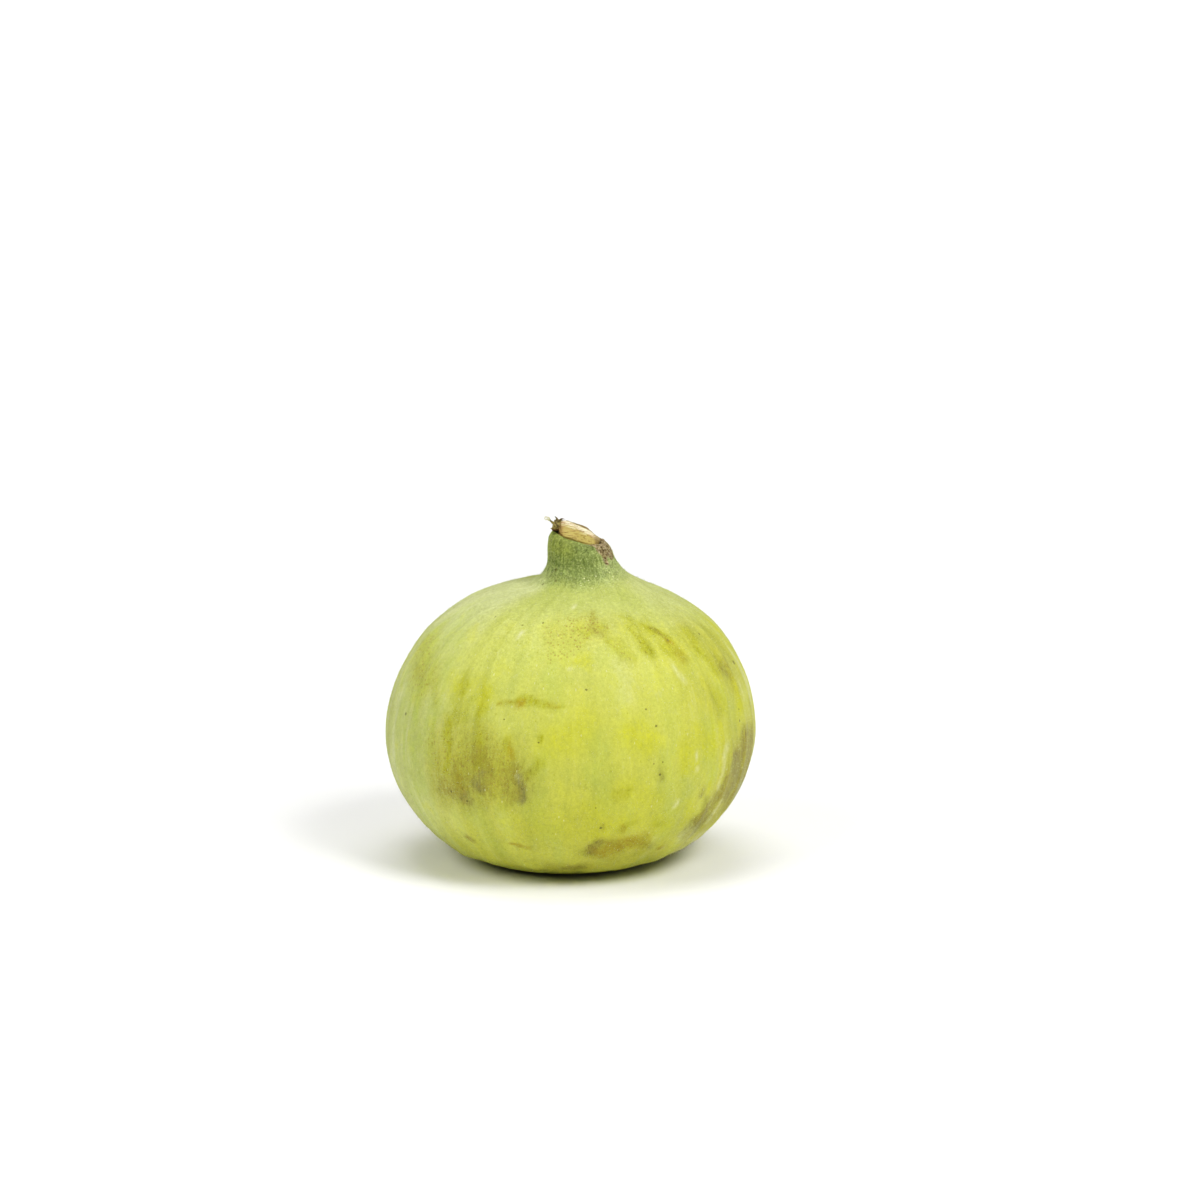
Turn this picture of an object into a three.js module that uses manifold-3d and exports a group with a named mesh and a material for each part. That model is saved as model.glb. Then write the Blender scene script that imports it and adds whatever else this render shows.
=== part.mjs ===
// A fresh green fig standing upright on the flat ring round its eye.
// Millimetres. +Z runs up the neck and stalk, -Y is the front, and the origin is on the ground under the
// middle of the fruit. The fruit is one piece with its neck and stalk; the dry wood in the stalk's torn end,
// the withered bract on its rim and the scales that close the eye are pieces of their own.

import * as THREE from 'three';
import { mergeVertices } from 'three/addons/utils/BufferGeometryUtils.js';
import ManifoldModule from 'manifold-3d';

const manifoldKit = await ManifoldModule();
manifoldKit.setup();

// ---------------------------------------------------------------------------
// Leading sizes
// ---------------------------------------------------------------------------

const DEPTH_SHARE = 0.96;      // the fruit is a little narrower from front to back
const GAP = 0.3;               // room between a small piece and what it sits on

// The skin in the fruit's middle plane: out of the floor of the eye, over the flat ring, the belly and the
// shoulders, up the neck and down into the hollow in the stalk's torn end.
// Each row: left x, left z, right x, right z, rib height, steps of facets to the next row.
const SKIN = [
  [0, 2.2, 0, 2.2, 0, 1],                   // floor of the eye
  [-2.5, 2.15, 2.5, 2.15, 0, 1],
  [-3.8, 1.1, 3.8, 1.1, 0, 2],              // wall of the eye
  [-5.4, 0, 5.4, 0, 0, 1],                  // flat ring, inner edge
  [-8.9, 0, 8.9, 0, 0, 2],                  // flat ring, outer edge
  [-13.0, 0.4, 13.0, 0.65, 0.1, 2],
  [-18.6, 2.85, 18.5, 3.3, 0.2, 3],
  [-23.3, 7.75, 23.2, 8.0, 0.2, 3],
  [-26.4, 14.05, 26.15, 13.8, 0.18, 3],
  [-26.9, 20.7, 27.0, 20.3, 0.18, 3],       // belly
  [-25.0, 27.65, 25.4, 27.95, 0.18, 3],
  [-21.1, 33.85, 21.4, 34.45, 0.16, 3],
  [-15.4, 38.25, 16.2, 38.35, 0.14, 2],
  [-9.8, 40.3, 11.8, 40.5, 0.12, 3],        // shoulders
  [-5.7, 41.15, 8.5, 42.4, 0.1, 3],
  [-3.5, 43.6, 6.8, 44.3, 0.1, 2],          // neck
  [-3.25, 46.6, 6.0, 46.0, 0.08, 1],
  [-3.05, 48.2, 5.3, 47.0, 0.06, 2],
  [-2.4, 48.95, 4.75, 47.25, 0, 1],         // rim of the torn end
  [-1.9, 48.7, 4.3, 46.95, 0, 1],
  [-1.8, 47.8, 4.15, 46.05, 0, 2],          // wall of the hollow
  [1.2, 46.7, 1.2, 46.7, 0, 0],             // floor of the hollow
];
const RIM_ROW = 18;
const RIM_DROP = 0.25;         // the front of the rim is torn lower
const RIM_RAGGED = 0.1;        // unevenness of the tear

const RIB_COUNT = 36;
const RIB_FOOT = 0.3;          // half the width of a rib, in rib spacings
const RIB_SPREAD = 0.22;       // how far a rib wanders from even spacing, in rib spacings
const RIB_SUNK = 0.6;          // the skin between ribs lies this share of a rib's height inside the outline
const SWELL = 0.18;            // broad unevenness of the front and back

// The dry wood, laid out in the same way.
// Each row: left x, left z, right x, right z, steps of facets to the next row.
const WOOD = [
  [1.2, 47.05, 1.2, 47.05, 1],
  [-1.3, 48.1, 3.65, 46.35, 1],
  [-1.5, 48.7, 3.85, 46.85, 1],
  [-1.55, 49.55, 4.0, 47.3, 1],
  [-1.5, 49.85, 3.95, 47.55, 1],
  [-1.1, 50.05, 3.6, 47.85, 2],
  [0.1, 49.55, 2.5, 48.45, 2],
  [1.3, 49.0, 1.3, 49.0, 0],
];
const WOOD_COLUMNS = 40;
const WOOD_LEAN = 0.15;        // rise of the torn face towards the back
const WOOD_SPLIT = 0.18;       // depth of the splits along the grain
const WOOD_SPLITS = 5;

// The withered bract: lumps and two dry shreds on the high side of the rim.
// Each lump: centre, half sizes, turn about Y in degrees.
const BRACT_LUMPS = [
  { centre: [-1.95, -0.4, 49.75], half: [0.66, 1.15, 0.75], turn: 18 },
  { centre: [-1.75, 0.3, 50.15], half: [0.6, 1.1, 0.6], turn: -12 },
  { centre: [-2.25, -0.75, 49.5], half: [0.5, 0.75, 0.55], turn: 30 },
];
const BRACT_SHREDS = [
  { root: [-2.1, -0.3, 50.2], tip: [-3.55, -0.55, 51.25] },
  { root: [-1.8, 0.7, 50.3], tip: [-2.5, 1.6, 51.05] },
];
const SHRED_RADIUS = { root: 0.42, tip: 0.12 };
const BRACT_FOLD = 0.12;       // depth of the wrinkles, as a share of a lump's size

// The scales that close the eye, in rings from the outside in.
// Each ring: scales in it, distance of a scale's middle from the axis, its height, length, width and tilt.
const EYE_RINGS = [
  { count: 8, distance: 2.5, height: 1.25, length: 2.2, width: 1.95, tilt: 16 },
  { count: 7, distance: 1.7, height: 1.0, length: 2.1, width: 1.7, tilt: 22 },
  { count: 5, distance: 0.85, height: 0.78, length: 1.8, width: 1.4, tilt: 26 },
];
const SCALE_THICKNESS = 0.64;
const EYE_BASE = { radius: 2.6, topRadius: 2.2, height: 1.45, thickness: 0.8 };

const FINISHES = {
  fig_body: { color: 0xc9d05a, roughness: 0.5, metalness: 0 },
  stalk_core: { color: 0xe8d6a6, roughness: 0.85, metalness: 0 },
  stalk_bract: { color: 0x4c3d22, roughness: 0.95, metalness: 0 },
  eye_scales: { color: 0x9a8c48, roughness: 0.8, metalness: 0 },
};

// ---------------------------------------------------------------------------
// Helpers
// ---------------------------------------------------------------------------

const { degToRad, lerp, smoothstep } = THREE.MathUtils;

// Repeatable random draw, 0 to 1.
function seededDraw(seed) {
  let state = seed >>> 0;
  return () => {
    state = (Math.imul(state, 1664525) + 1013904223) >>> 0;
    return state / 4294967296;
  };
}

// Two outlines, left and right, joined round an upright axis: the middle and the height slide from one to the
// other.
function pairOfOutlines(rows) {
  const left = new THREE.SplineCurve(rows.map((row) => new THREE.Vector2(row[0], row[1])));
  const right = new THREE.SplineCurve(rows.map((row) => new THREE.Vector2(row[2], row[3])));
  const last = rows.length - 1;
  return (station, angle) => {
    const a = left.getPoint(station / last);
    const b = right.getPoint(station / last);
    const radius = (b.x - a.x) / 2;
    return {
      middle: (a.x + b.x) / 2,
      radius,
      across: radius * Math.cos(angle),
      deep: radius * Math.sin(angle) * DEPTH_SHARE,
      height: lerp(a.y, b.y, (1 + Math.cos(angle)) / 2),
    };
  };
}

// Rows between the first and the last, each row's last value being the steps that lead to the next.
function ringStations(rows) {
  const stations = rows.flatMap((row, index) => {
    const steps = row[row.length - 1];
    return Array.from({ length: steps }, (_, step) => index + step / steps);
  });
  return stations.slice(1);
}

// Closed surface of rings between two end points. The rings run anticlockwise seen from above, and follow the
// outside from the low end to the high end.
function closedSkin(lowEnd, rings, highEnd) {
  const columns = rings[0].length;
  const points = [lowEnd, ...rings.flat(), highEnd];
  const faces = [];
  const at = (ring, column) => 1 + ring * columns + (column % columns);
  for (let column = 0; column < columns; column += 1) {
    faces.push(0, at(0, column + 1), at(0, column));
    for (let ring = 0; ring < rings.length - 1; ring += 1) {
      const a = at(ring, column);
      const b = at(ring, column + 1);
      const c = at(ring + 1, column + 1);
      const d = at(ring + 1, column);
      faces.push(a, b, c, a, c, d);
    }
    faces.push(points.length - 1, at(rings.length - 1, column), at(rings.length - 1, column + 1));
  }
  return geometryFrom(points.flatMap((p) => [p.x, p.y, p.z]), faces);
}

function geometryFrom(position, faces) {
  const geometry = new THREE.BufferGeometry();
  geometry.setAttribute('position', new THREE.Float32BufferAttribute(position, 3));
  geometry.setIndex(faces);
  return geometry;
}

// Moves each point of a geometry by a rule of its own place.
function bend(geometry, rule) {
  const position = geometry.getAttribute('position');
  const point = new THREE.Vector3();
  for (let index = 0; index < position.count; index += 1) {
    rule(point.fromBufferAttribute(position, index));
    position.setXYZ(index, point.x, point.y, point.z);
  }
  return geometry;
}

function solidOf(geometry) {
  const bare = geometry.clone();
  bare.deleteAttribute('normal');
  bare.deleteAttribute('uv');
  const merged = mergeVertices(bare);
  return new manifoldKit.Manifold(new manifoldKit.Mesh({
    numProp: 3,
    vertProperties: new Float32Array(merged.getAttribute('position').array),
    triVerts: new Uint32Array(merged.getIndex().array),
  }));
}

function geometryOf(solid) {
  const { numProp, vertProperties, triVerts } = solid.getMesh();
  const position = [];
  for (let index = 0; index < vertProperties.length; index += numProp) {
    position.push(...vertProperties.slice(index, index + 3));
  }
  return geometryFrom(position, Array.from(triVerts));
}

function joined(geometries) {
  return geometries.map(solidOf).reduce((sum, solid) => sum.add(solid));
}

// A piece cut back from its neighbours, with the gap left on every side. A loose scrap is dropped.
function fitted(piece, neighbours) {
  const moves = [[0, 0, 0]];
  for (const shift of [-GAP, GAP]) moves.push([shift, 0, 0], [0, shift, 0], [0, 0, shift]);
  let result = piece;
  for (const neighbour of neighbours) {
    for (const move of moves) result = result.subtract(neighbour.translate(move));
  }
  return result.decompose().sort((a, b) => b.volume() - a.volume())[0];
}

function namedMesh(name, geometry) {
  geometry.computeVertexNormals();
  const mesh = new THREE.Mesh(geometry, new THREE.MeshStandardMaterial(FINISHES[name]));
  mesh.name = name;
  return mesh;
}

// ---------------------------------------------------------------------------
// Fruit: belly, neck and stalk in one
// ---------------------------------------------------------------------------

function ribsRound() {
  const draw = seededDraw(7);
  return Array.from({ length: RIB_COUNT }, (_, index) => ({
    angle: ((index + (draw() - 0.5) * 2 * RIB_SPREAD) / RIB_COUNT) * 2 * Math.PI,
    height: 0.6 + 0.8 * draw(),
  }));
}

// Columns of facets: the crest of each rib, its foot, and the foot of the next one.
function columnsRound() {
  const ribs = ribsRound();
  return ribs.flatMap(({ angle, height }, index) => {
    const next = ribs[(index + 1) % RIB_COUNT];
    const span = (next.angle - angle + 2 * Math.PI) % (2 * Math.PI);
    return [
      { angle, relief: height - RIB_SUNK },
      { angle: angle + span * RIB_FOOT, relief: -RIB_SUNK },
      { angle: angle + span * (1 - RIB_FOOT), relief: -RIB_SUNK },
    ];
  });
}

function ribHeight(station) {
  const row = Math.min(Math.floor(station), SKIN.length - 2);
  return lerp(SKIN[row][4], SKIN[row + 1][4], station - row);
}

// Broad swelling of the front and back. It fades out at the two sides, so the outlines hold.
function swelling(angle, height) {
  const wave = Math.sin(2 * angle + 0.09 * height) + 0.7 * Math.sin(3 * angle - 0.13 * height + 1.3);
  const belly = smoothstep(height, 1, 12) * (1 - smoothstep(height, 34, 41));
  return SWELL * Math.sin(angle) ** 2 * wave * belly;
}

function tear(station, angle) {
  const nearRim = smoothstep(station, RIM_ROW - 1.5, RIM_ROW);
  const front = Math.max(0, -Math.sin(angle));
  return nearRim * (RIM_RAGGED * Math.sin(5 * angle + 0.8) * Math.cos(2 * angle) - RIM_DROP * front);
}

function fruit() {
  const skinAt = pairOfOutlines(SKIN);
  const columns = columnsRound();
  const rings = ringStations(SKIN).map((station) => columns.map(({ angle, relief }) => {
    const { middle, radius, across, deep, height } = skinAt(station, angle);
    const push = 1 + (ribHeight(station) * relief + swelling(angle, height)) / radius;
    return new THREE.Vector3(middle + across * push, deep * push, Math.max(0, height + tear(station, angle)));
  }));
  const [floorX, floorZ] = SKIN[0];
  const [endX, endZ] = SKIN[SKIN.length - 1];
  return closedSkin(new THREE.Vector3(floorX, 0, floorZ), rings, new THREE.Vector3(endX, 0, endZ));
}

// ---------------------------------------------------------------------------
// Dry wood in the stalk's torn end, split along its grain
// ---------------------------------------------------------------------------

function wood() {
  const draw = seededDraw(19);
  const waves = Array.from({ length: WOOD_SPLITS }, () => ({ pitch: 1.6 + 3.2 * draw(), shift: 6 * draw() }));
  const grain = (x, y) => {
    const heights = waves.map(({ pitch, shift }) => Math.sin(pitch * y + 0.35 * x + shift));
    return heights.reduce((sum, height) => sum + height) / WOOD_SPLITS;
  };
  const woodAt = pairOfOutlines(WOOD);
  const angles = Array.from({ length: WOOD_COLUMNS }, (_, column) => (column / WOOD_COLUMNS) * 2 * Math.PI);
  const rings = ringStations(WOOD).map((station) => angles.map((angle) => {
    const { middle, across, deep, height } = woodAt(station, angle);
    const tornFace = smoothstep(station, 2, 4);
    const ragged = 1 + tornFace * (0.035 * Math.sin(3 * angle + 1) + 0.025 * Math.sin(7 * angle));
    const split = WOOD_SPLIT * grain(across, deep);
    return new THREE.Vector3(
      middle + across * ragged,
      deep * ragged,
      height + tornFace * (WOOD_LEAN * deep + split),
    );
  }));
  const [lowX, lowZ] = WOOD[0];
  const [topX, topZ] = WOOD[WOOD.length - 1];
  return closedSkin(new THREE.Vector3(lowX, 0, lowZ), rings, new THREE.Vector3(topX, 0, topZ));
}

// ---------------------------------------------------------------------------
// Withered bract on the rim
// ---------------------------------------------------------------------------

function bractLump({ centre, half, turn }) {
  const lump = bend(new THREE.SphereGeometry(1, 14, 10), (p) => {
    const fold = 1 + BRACT_FOLD * Math.sin(5 * p.y + 3 * p.x) * Math.cos(4 * p.z);
    p.x *= fold;
    p.z *= fold;
  });
  return lump.scale(...half).rotateY(degToRad(turn)).translate(...centre);
}

function bractShred({ root, tip }) {
  const start = new THREE.Vector3(...root);
  const end = new THREE.Vector3(...tip);
  const run = end.clone().sub(start);
  const shred = new THREE.CylinderGeometry(SHRED_RADIUS.tip, SHRED_RADIUS.root, run.length(), 8);
  const turn = new THREE.Quaternion().setFromUnitVectors(new THREE.Vector3(0, 1, 0), run.normalize());
  return shred.applyQuaternion(turn).translate(...start.add(end).multiplyScalar(0.5));
}

// ---------------------------------------------------------------------------
// Scales of the eye, overlapping from the outside in
// ---------------------------------------------------------------------------

function eyeScale({ length, width, tilt, distance, height }, turn, size) {
  const scale = bend(new THREE.SphereGeometry(1, 10, 7), (p) => {
    if (p.x < 0) p.y *= 1 - 0.45 * p.x * p.x;      // drawn to a point towards the axis
  });
  return scale
    .scale((length / 2) * size, (width / 2) * size, SCALE_THICKNESS / 2)
    .rotateY(degToRad(-tilt))
    .translate(distance, 0, height)
    .rotateZ(turn);
}

function eyeScales() {
  const draw = seededDraw(31);
  const { radius, topRadius, height, thickness } = EYE_BASE;
  const base = new THREE.CylinderGeometry(topRadius, radius, thickness, 24)
    .rotateX(Math.PI / 2)
    .translate(0, 0, height);
  const scales = EYE_RINGS.flatMap((ring, order) => Array.from({ length: ring.count }, (_, index) => {
    const turn = ((index + 0.5 * order + 0.3 * (draw() - 0.5)) / ring.count) * 2 * Math.PI;
    return eyeScale(ring, turn, 0.93 + 0.14 * draw());
  }));
  return [base, ...scales];
}

// ---------------------------------------------------------------------------
// Whole fig
// ---------------------------------------------------------------------------

const fruitGeometry = fruit();
const fruitSolid = solidOf(fruitGeometry);
const woodSolid = fitted(solidOf(wood()), [fruitSolid]);
const bractSolid = fitted(
  joined([...BRACT_LUMPS.map(bractLump), ...BRACT_SHREDS.map(bractShred)]),
  [fruitSolid, woodSolid],
);
const eyeSolid = fitted(joined(eyeScales()), [fruitSolid]);

const fig = new THREE.Group();
fig.name = 'fresh_fig';
fig.add(namedMesh('fig_body', fruitGeometry));
fig.add(namedMesh('stalk_core', geometryOf(woodSolid)));
fig.add(namedMesh('stalk_bract', geometryOf(bractSolid)));
fig.add(namedMesh('eye_scales', geometryOf(eyeSolid)));

export default fig;
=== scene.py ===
"""A fresh green fig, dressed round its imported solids.

Metres, +Z up the stalk, -Y the front, +X the low side of the torn stalk. Sizes of the fig are written in
millimetres. A place on the skin is written as (turn, along): degrees round from the front, positive to the
right, and millimetres along the skin from the middle of the eye to the stalk's torn end.
"""

import math

import bpy
import numpy as np
from mathutils import Matrix, Vector


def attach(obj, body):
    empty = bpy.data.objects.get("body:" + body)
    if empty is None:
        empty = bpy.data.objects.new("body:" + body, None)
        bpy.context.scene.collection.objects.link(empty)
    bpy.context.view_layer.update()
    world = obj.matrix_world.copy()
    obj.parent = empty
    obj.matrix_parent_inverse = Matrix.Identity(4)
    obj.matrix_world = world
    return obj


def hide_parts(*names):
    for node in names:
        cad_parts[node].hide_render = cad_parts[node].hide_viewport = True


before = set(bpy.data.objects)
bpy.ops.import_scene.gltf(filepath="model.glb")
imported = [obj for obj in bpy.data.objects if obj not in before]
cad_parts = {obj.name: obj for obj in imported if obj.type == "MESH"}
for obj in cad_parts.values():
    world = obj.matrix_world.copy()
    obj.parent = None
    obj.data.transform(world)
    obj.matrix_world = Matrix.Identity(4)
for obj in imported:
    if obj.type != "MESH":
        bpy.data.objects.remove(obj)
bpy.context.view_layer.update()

MM = 0.001
BODY = "root"

# --- Sizes of the fig, in millimetres

DEPTH_SHARE = 0.96            # the fruit is a little narrower from front to back
BELLY_RADIUS = 27.0

# The skin in the fruit's middle plane: left x, left z, right x, right z, rib height.
SKIN = (
    (0, 2.2, 0, 2.2, 0),                      # floor of the eye
    (-2.5, 2.15, 2.5, 2.15, 0),
    (-3.8, 1.1, 3.8, 1.1, 0),                 # wall of the eye
    (-5.4, 0, 5.4, 0, 0),                     # flat ring, inner edge
    (-8.9, 0, 8.9, 0, 0),                     # flat ring, outer edge
    (-13.0, 0.4, 13.0, 0.65, 0.1),
    (-18.6, 2.85, 18.5, 3.3, 0.2),
    (-23.3, 7.75, 23.2, 8.0, 0.2),
    (-26.4, 14.05, 26.15, 13.8, 0.18),
    (-26.9, 20.7, 27.0, 20.3, 0.18),          # belly
    (-25.0, 27.65, 25.4, 27.95, 0.18),
    (-21.1, 33.85, 21.4, 34.45, 0.16),
    (-15.4, 38.25, 16.2, 38.35, 0.09),
    (-9.8, 40.3, 11.8, 40.5, 0.06),           # shoulders
    (-5.7, 41.15, 8.5, 42.4, 0.05),
    (-3.5, 43.6, 6.8, 44.3, 0.06),            # neck
    (-3.25, 46.6, 6.0, 46.0, 0.08),
    (-3.05, 48.2, 5.3, 47.0, 0.06),
    (-2.4, 48.95, 4.75, 47.25, 0),            # rim of the torn end
    (-1.9, 48.7, 4.3, 46.95, 0),
    (-1.8, 47.8, 4.15, 46.05, 0),             # wall of the hollow
    (1.2, 46.7, 1.2, 46.7, 0),                # floor of the hollow
)
RIM_ROW = 18
RIM_DROP = 0.25               # the front of the rim is torn lower
RIM_RAGGED = 0.1
RIB_COUNT = 36
RIB_SEED = 7
RIB_SPREAD = 0.22             # how far a rib wanders from even spacing, in rib spacings
RIB_WIDTH = 0.17              # half width of a rib, in rib spacings
RIB_SUNK = 0.6
SWELL = 0.18                  # broad unevenness of the front and back

SKIN_COLUMNS = 384
SKIN_ROWS = 256
OUTLINE_STEPS = 2000          # points at which the outline's length is measured

# --- Colours, linear

WHITE_FLOOR = (0.93, 0.93, 0.92)
BLACK = (0.0, 0.0, 0.0)

LIME = (0.472, 0.500, 0.130)
YELLOW = (0.505, 0.505, 0.088)
# partly painted bounce light from the floor
LOW_SKIN_AND_BOUNCE_LIGHT = (0.508, 0.511, 0.103)
BLOOM = (0.520, 0.555, 0.290)
SHOULDER = (0.378, 0.420, 0.125)
GREEN_STREAK = (0.370, 0.430, 0.110)
OLIVE = (0.330, 0.330, 0.030)
STAIN = (0.350, 0.325, 0.060)
BRUISE = (0.235, 0.205, 0.058)
BRUISE_DARK = (0.150, 0.130, 0.040)
GREY = (0.225, 0.212, 0.090)
HAZE = (0.270, 0.180, 0.055)
OCHRE = (0.330, 0.260, 0.035)
PALE_SCAR = (0.620, 0.630, 0.360)
BRIGHT_YELLOW = (0.480, 0.485, 0.045)
# painted shade for the lower left side
LEFT_LOW_SHADE = (0.360, 0.385, 0.115)
# painted bounce light for the low right limb
LOW_RIM_BOUNCE_LIGHT = (0.660, 0.640, 0.360)
SPECK = (0.095, 0.080, 0.032)
NECK = (0.208, 0.252, 0.088)
NECK_TOP = (0.290, 0.325, 0.085)
NECK_BLOOM = (0.370, 0.418, 0.178)
HAIR_GREEN = (0.460, 0.500, 0.240)
HAIR_PALE = (0.600, 0.620, 0.430)

# partly painted highlight on the wood's upper side
WOOD_CREAM_AND_HIGHLIGHT = (0.800, 0.720, 0.490)
# partly painted shade on the wood's lower front
WOOD_GOLD_AND_SHADE = (0.400, 0.325, 0.110)
WOOD_LINE = (0.330, 0.200, 0.100)
WOOD_FLECK = (0.140, 0.075, 0.030)
WOOD_BARK = (0.200, 0.145, 0.060)
# partly painted light for the wood's shaded side
WOOD_SIDE_AND_LIGHT = (0.560, 0.450, 0.200)
BRACT_DARK = (0.070, 0.055, 0.028)
BRACT_TAN = (0.300, 0.250, 0.100)
# partly painted shade of the gap under the bract
BRACT_RED_AND_SHADE = (0.070, 0.020, 0.012)
BRACT_PALE = (0.560, 0.540, 0.360)
EYE_GREEN = (0.330, 0.340, 0.100)
EYE_BROWN = (0.190, 0.105, 0.040)
EYE_PINK = (0.420, 0.240, 0.150)
CRUST = (0.285, 0.228, 0.125)
CRUST_DARK = (0.065, 0.042, 0.026)
CRUST_PALE = (0.500, 0.430, 0.310)

# --- Node trees written as sums

MIX_FIRST, MIX_SECOND, MIX_RESULT = 6, 7, 2  # the Mix node's sockets for colours


class Wire:
    """An output socket that can be added, multiplied and so on."""

    def __init__(self, sketch, socket):
        self.sketch = sketch
        self.socket = socket

    @staticmethod
    def is_vector(value):
        return isinstance(value, tuple) or (isinstance(value, Wire) and value.socket.type == "VECTOR")

    def _sum(self, operation, *values):
        """A Math node, or a Vector Math node where one of the values is a vector."""
        kind = "ShaderNodeMath"
        if any(self.is_vector(value) for value in values):
            kind = "ShaderNodeVectorMath"
            values = [(value,) * 3 if isinstance(value, (int, float)) else value for value in values]
        return self.sketch.node(kind, {"operation": operation}, dict(enumerate(values)))

    def __add__(self, other):
        return self._sum("ADD", self, other)

    def __radd__(self, other):
        return self._sum("ADD", other, self)

    def __sub__(self, other):
        return self._sum("SUBTRACT", self, other)

    def __rsub__(self, other):
        return self._sum("SUBTRACT", other, self)

    def __mul__(self, other):
        return self._sum("MULTIPLY", self, other)

    def __rmul__(self, other):
        return self._sum("MULTIPLY", other, self)

    def ramp(self, low, high, to_low=0.0, to_high=1.0):
        """Smooth step from to_low at low to to_high at high."""
        return self.sketch.node(
            "ShaderNodeMapRange",
            {"interpolation_type": "SMOOTHSTEP"},
            {"Value": self, "From Min": low, "From Max": high, "To Min": to_low, "To Max": to_high},
        )

    def clamped(self):
        return self.sketch.node("ShaderNodeClamp", {}, {"Value": self})

    @property
    def swing(self):
        """A noise about its middle, -0.5 to 0.5."""
        return self - 0.5

    def beside(self, name):
        """Another output of the same node."""
        return Wire(self.sketch, self.socket.node.outputs[name])


class Sketch:
    """Adds nodes to one tree."""

    def __init__(self, tree):
        self.tree = tree

    def node(self, kind, settings=(), sockets=(), out=0):
        """One node: its settings first, then a value or a wire for each named or numbered socket."""
        made = self.tree.nodes.new(kind)
        for name, value in dict(settings).items():
            setattr(made, name, value)
        for name, value in dict(sockets).items():
            self.feed(made.inputs[name], value)
        return Wire(self, made.outputs[out])

    def feed(self, socket, value):
        if isinstance(value, Wire):
            self.tree.links.new(value.socket, socket)
        elif socket.type == "RGBA" and len(value) == 3:
            socket.default_value = (*value, 1.0)
        else:
            socket.default_value = value

    def mix(self, amount, first, second, blend="MIX"):
        """Colour between first and second; an amount below 0 or above 1 counts as 0 or 1."""
        settings = {"data_type": "RGBA", "blend_type": blend, "clamp_factor": True}
        colours = {MIX_FIRST: first, MIX_SECOND: second}
        return self.node("ShaderNodeMix", settings, {"Factor": amount, **colours}, MIX_RESULT)

    def noise(self, place, scale, detail=2.0, roughness=0.5, distortion=0.0):
        sockets = {"Scale": scale, "Detail": detail, "Roughness": roughness, "Distortion": distortion}
        return self.node("ShaderNodeTexNoise", {}, {"Vector": place, **sockets})

    def axis(self, place, letter):
        return self.node("ShaderNodeSeparateXYZ", {}, {0: place}, letter)

    def attribute(self, name, out="Fac"):
        return self.node("ShaderNodeAttribute", {"attribute_name": name}, {}, out)


class Finish(Sketch):
    """A Principled material under construction."""

    def __init__(self, name, **constants):
        self.colour = None
        self.material = bpy.data.materials.new(name)
        self.material.use_nodes = True
        super().__init__(self.material.node_tree)
        self.shader = self.tree.nodes["Principled BSDF"]
        for socket, value in constants.items():
            self.feed(self.shader.inputs[socket.replace("_", " ")], value)

    def set(self, socket, value):
        self.feed(self.shader.inputs[socket], value)

    def place(self):
        """The point on the object, in millimetres."""
        return self.node("ShaderNodeTexCoord", {}, {}, "Object") * (1 / MM)

    def paint(self, amount, tone):
        """Covers the colour so far with the tone."""
        self.colour = self.mix(amount, self.colour, tone)

    def cells(self, place, scale):
        """Distance from the middle of the nearest cell, and that cell's own random number, 0 to 1."""
        away = self.node("ShaderNodeTexVoronoi", {}, {"Vector": place, "Scale": scale}, "Distance")
        return away, self.node("ShaderNodeSeparateColor", {}, {0: away.beside("Color")})

    def dim(self, shade):
        """Multiplies the colour so far by a number."""
        grey = self.node("ShaderNodeCombineColor", {}, {0: shade, 1: shade, 2: shade})
        self.colour = self.mix(1.0, self.colour, grey, "MULTIPLY")

    def bump(self, height, depth_mm, strength, under=None):
        """Normals tilted by the height, on top of the bump `under`."""
        sockets = {"Height": height, "Distance": depth_mm * MM, "Strength": strength}
        if under is not None:
            sockets["Normal"] = under
        return self.node("ShaderNodeBump", {}, sockets)

    def done(self, roughness, relief):
        """The material, in the colour painted so far."""
        self.set("Base Color", self.colour)
        self.set("Roughness", roughness.clamped())
        self.set("Normal", relief)
        return self.material


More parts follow.
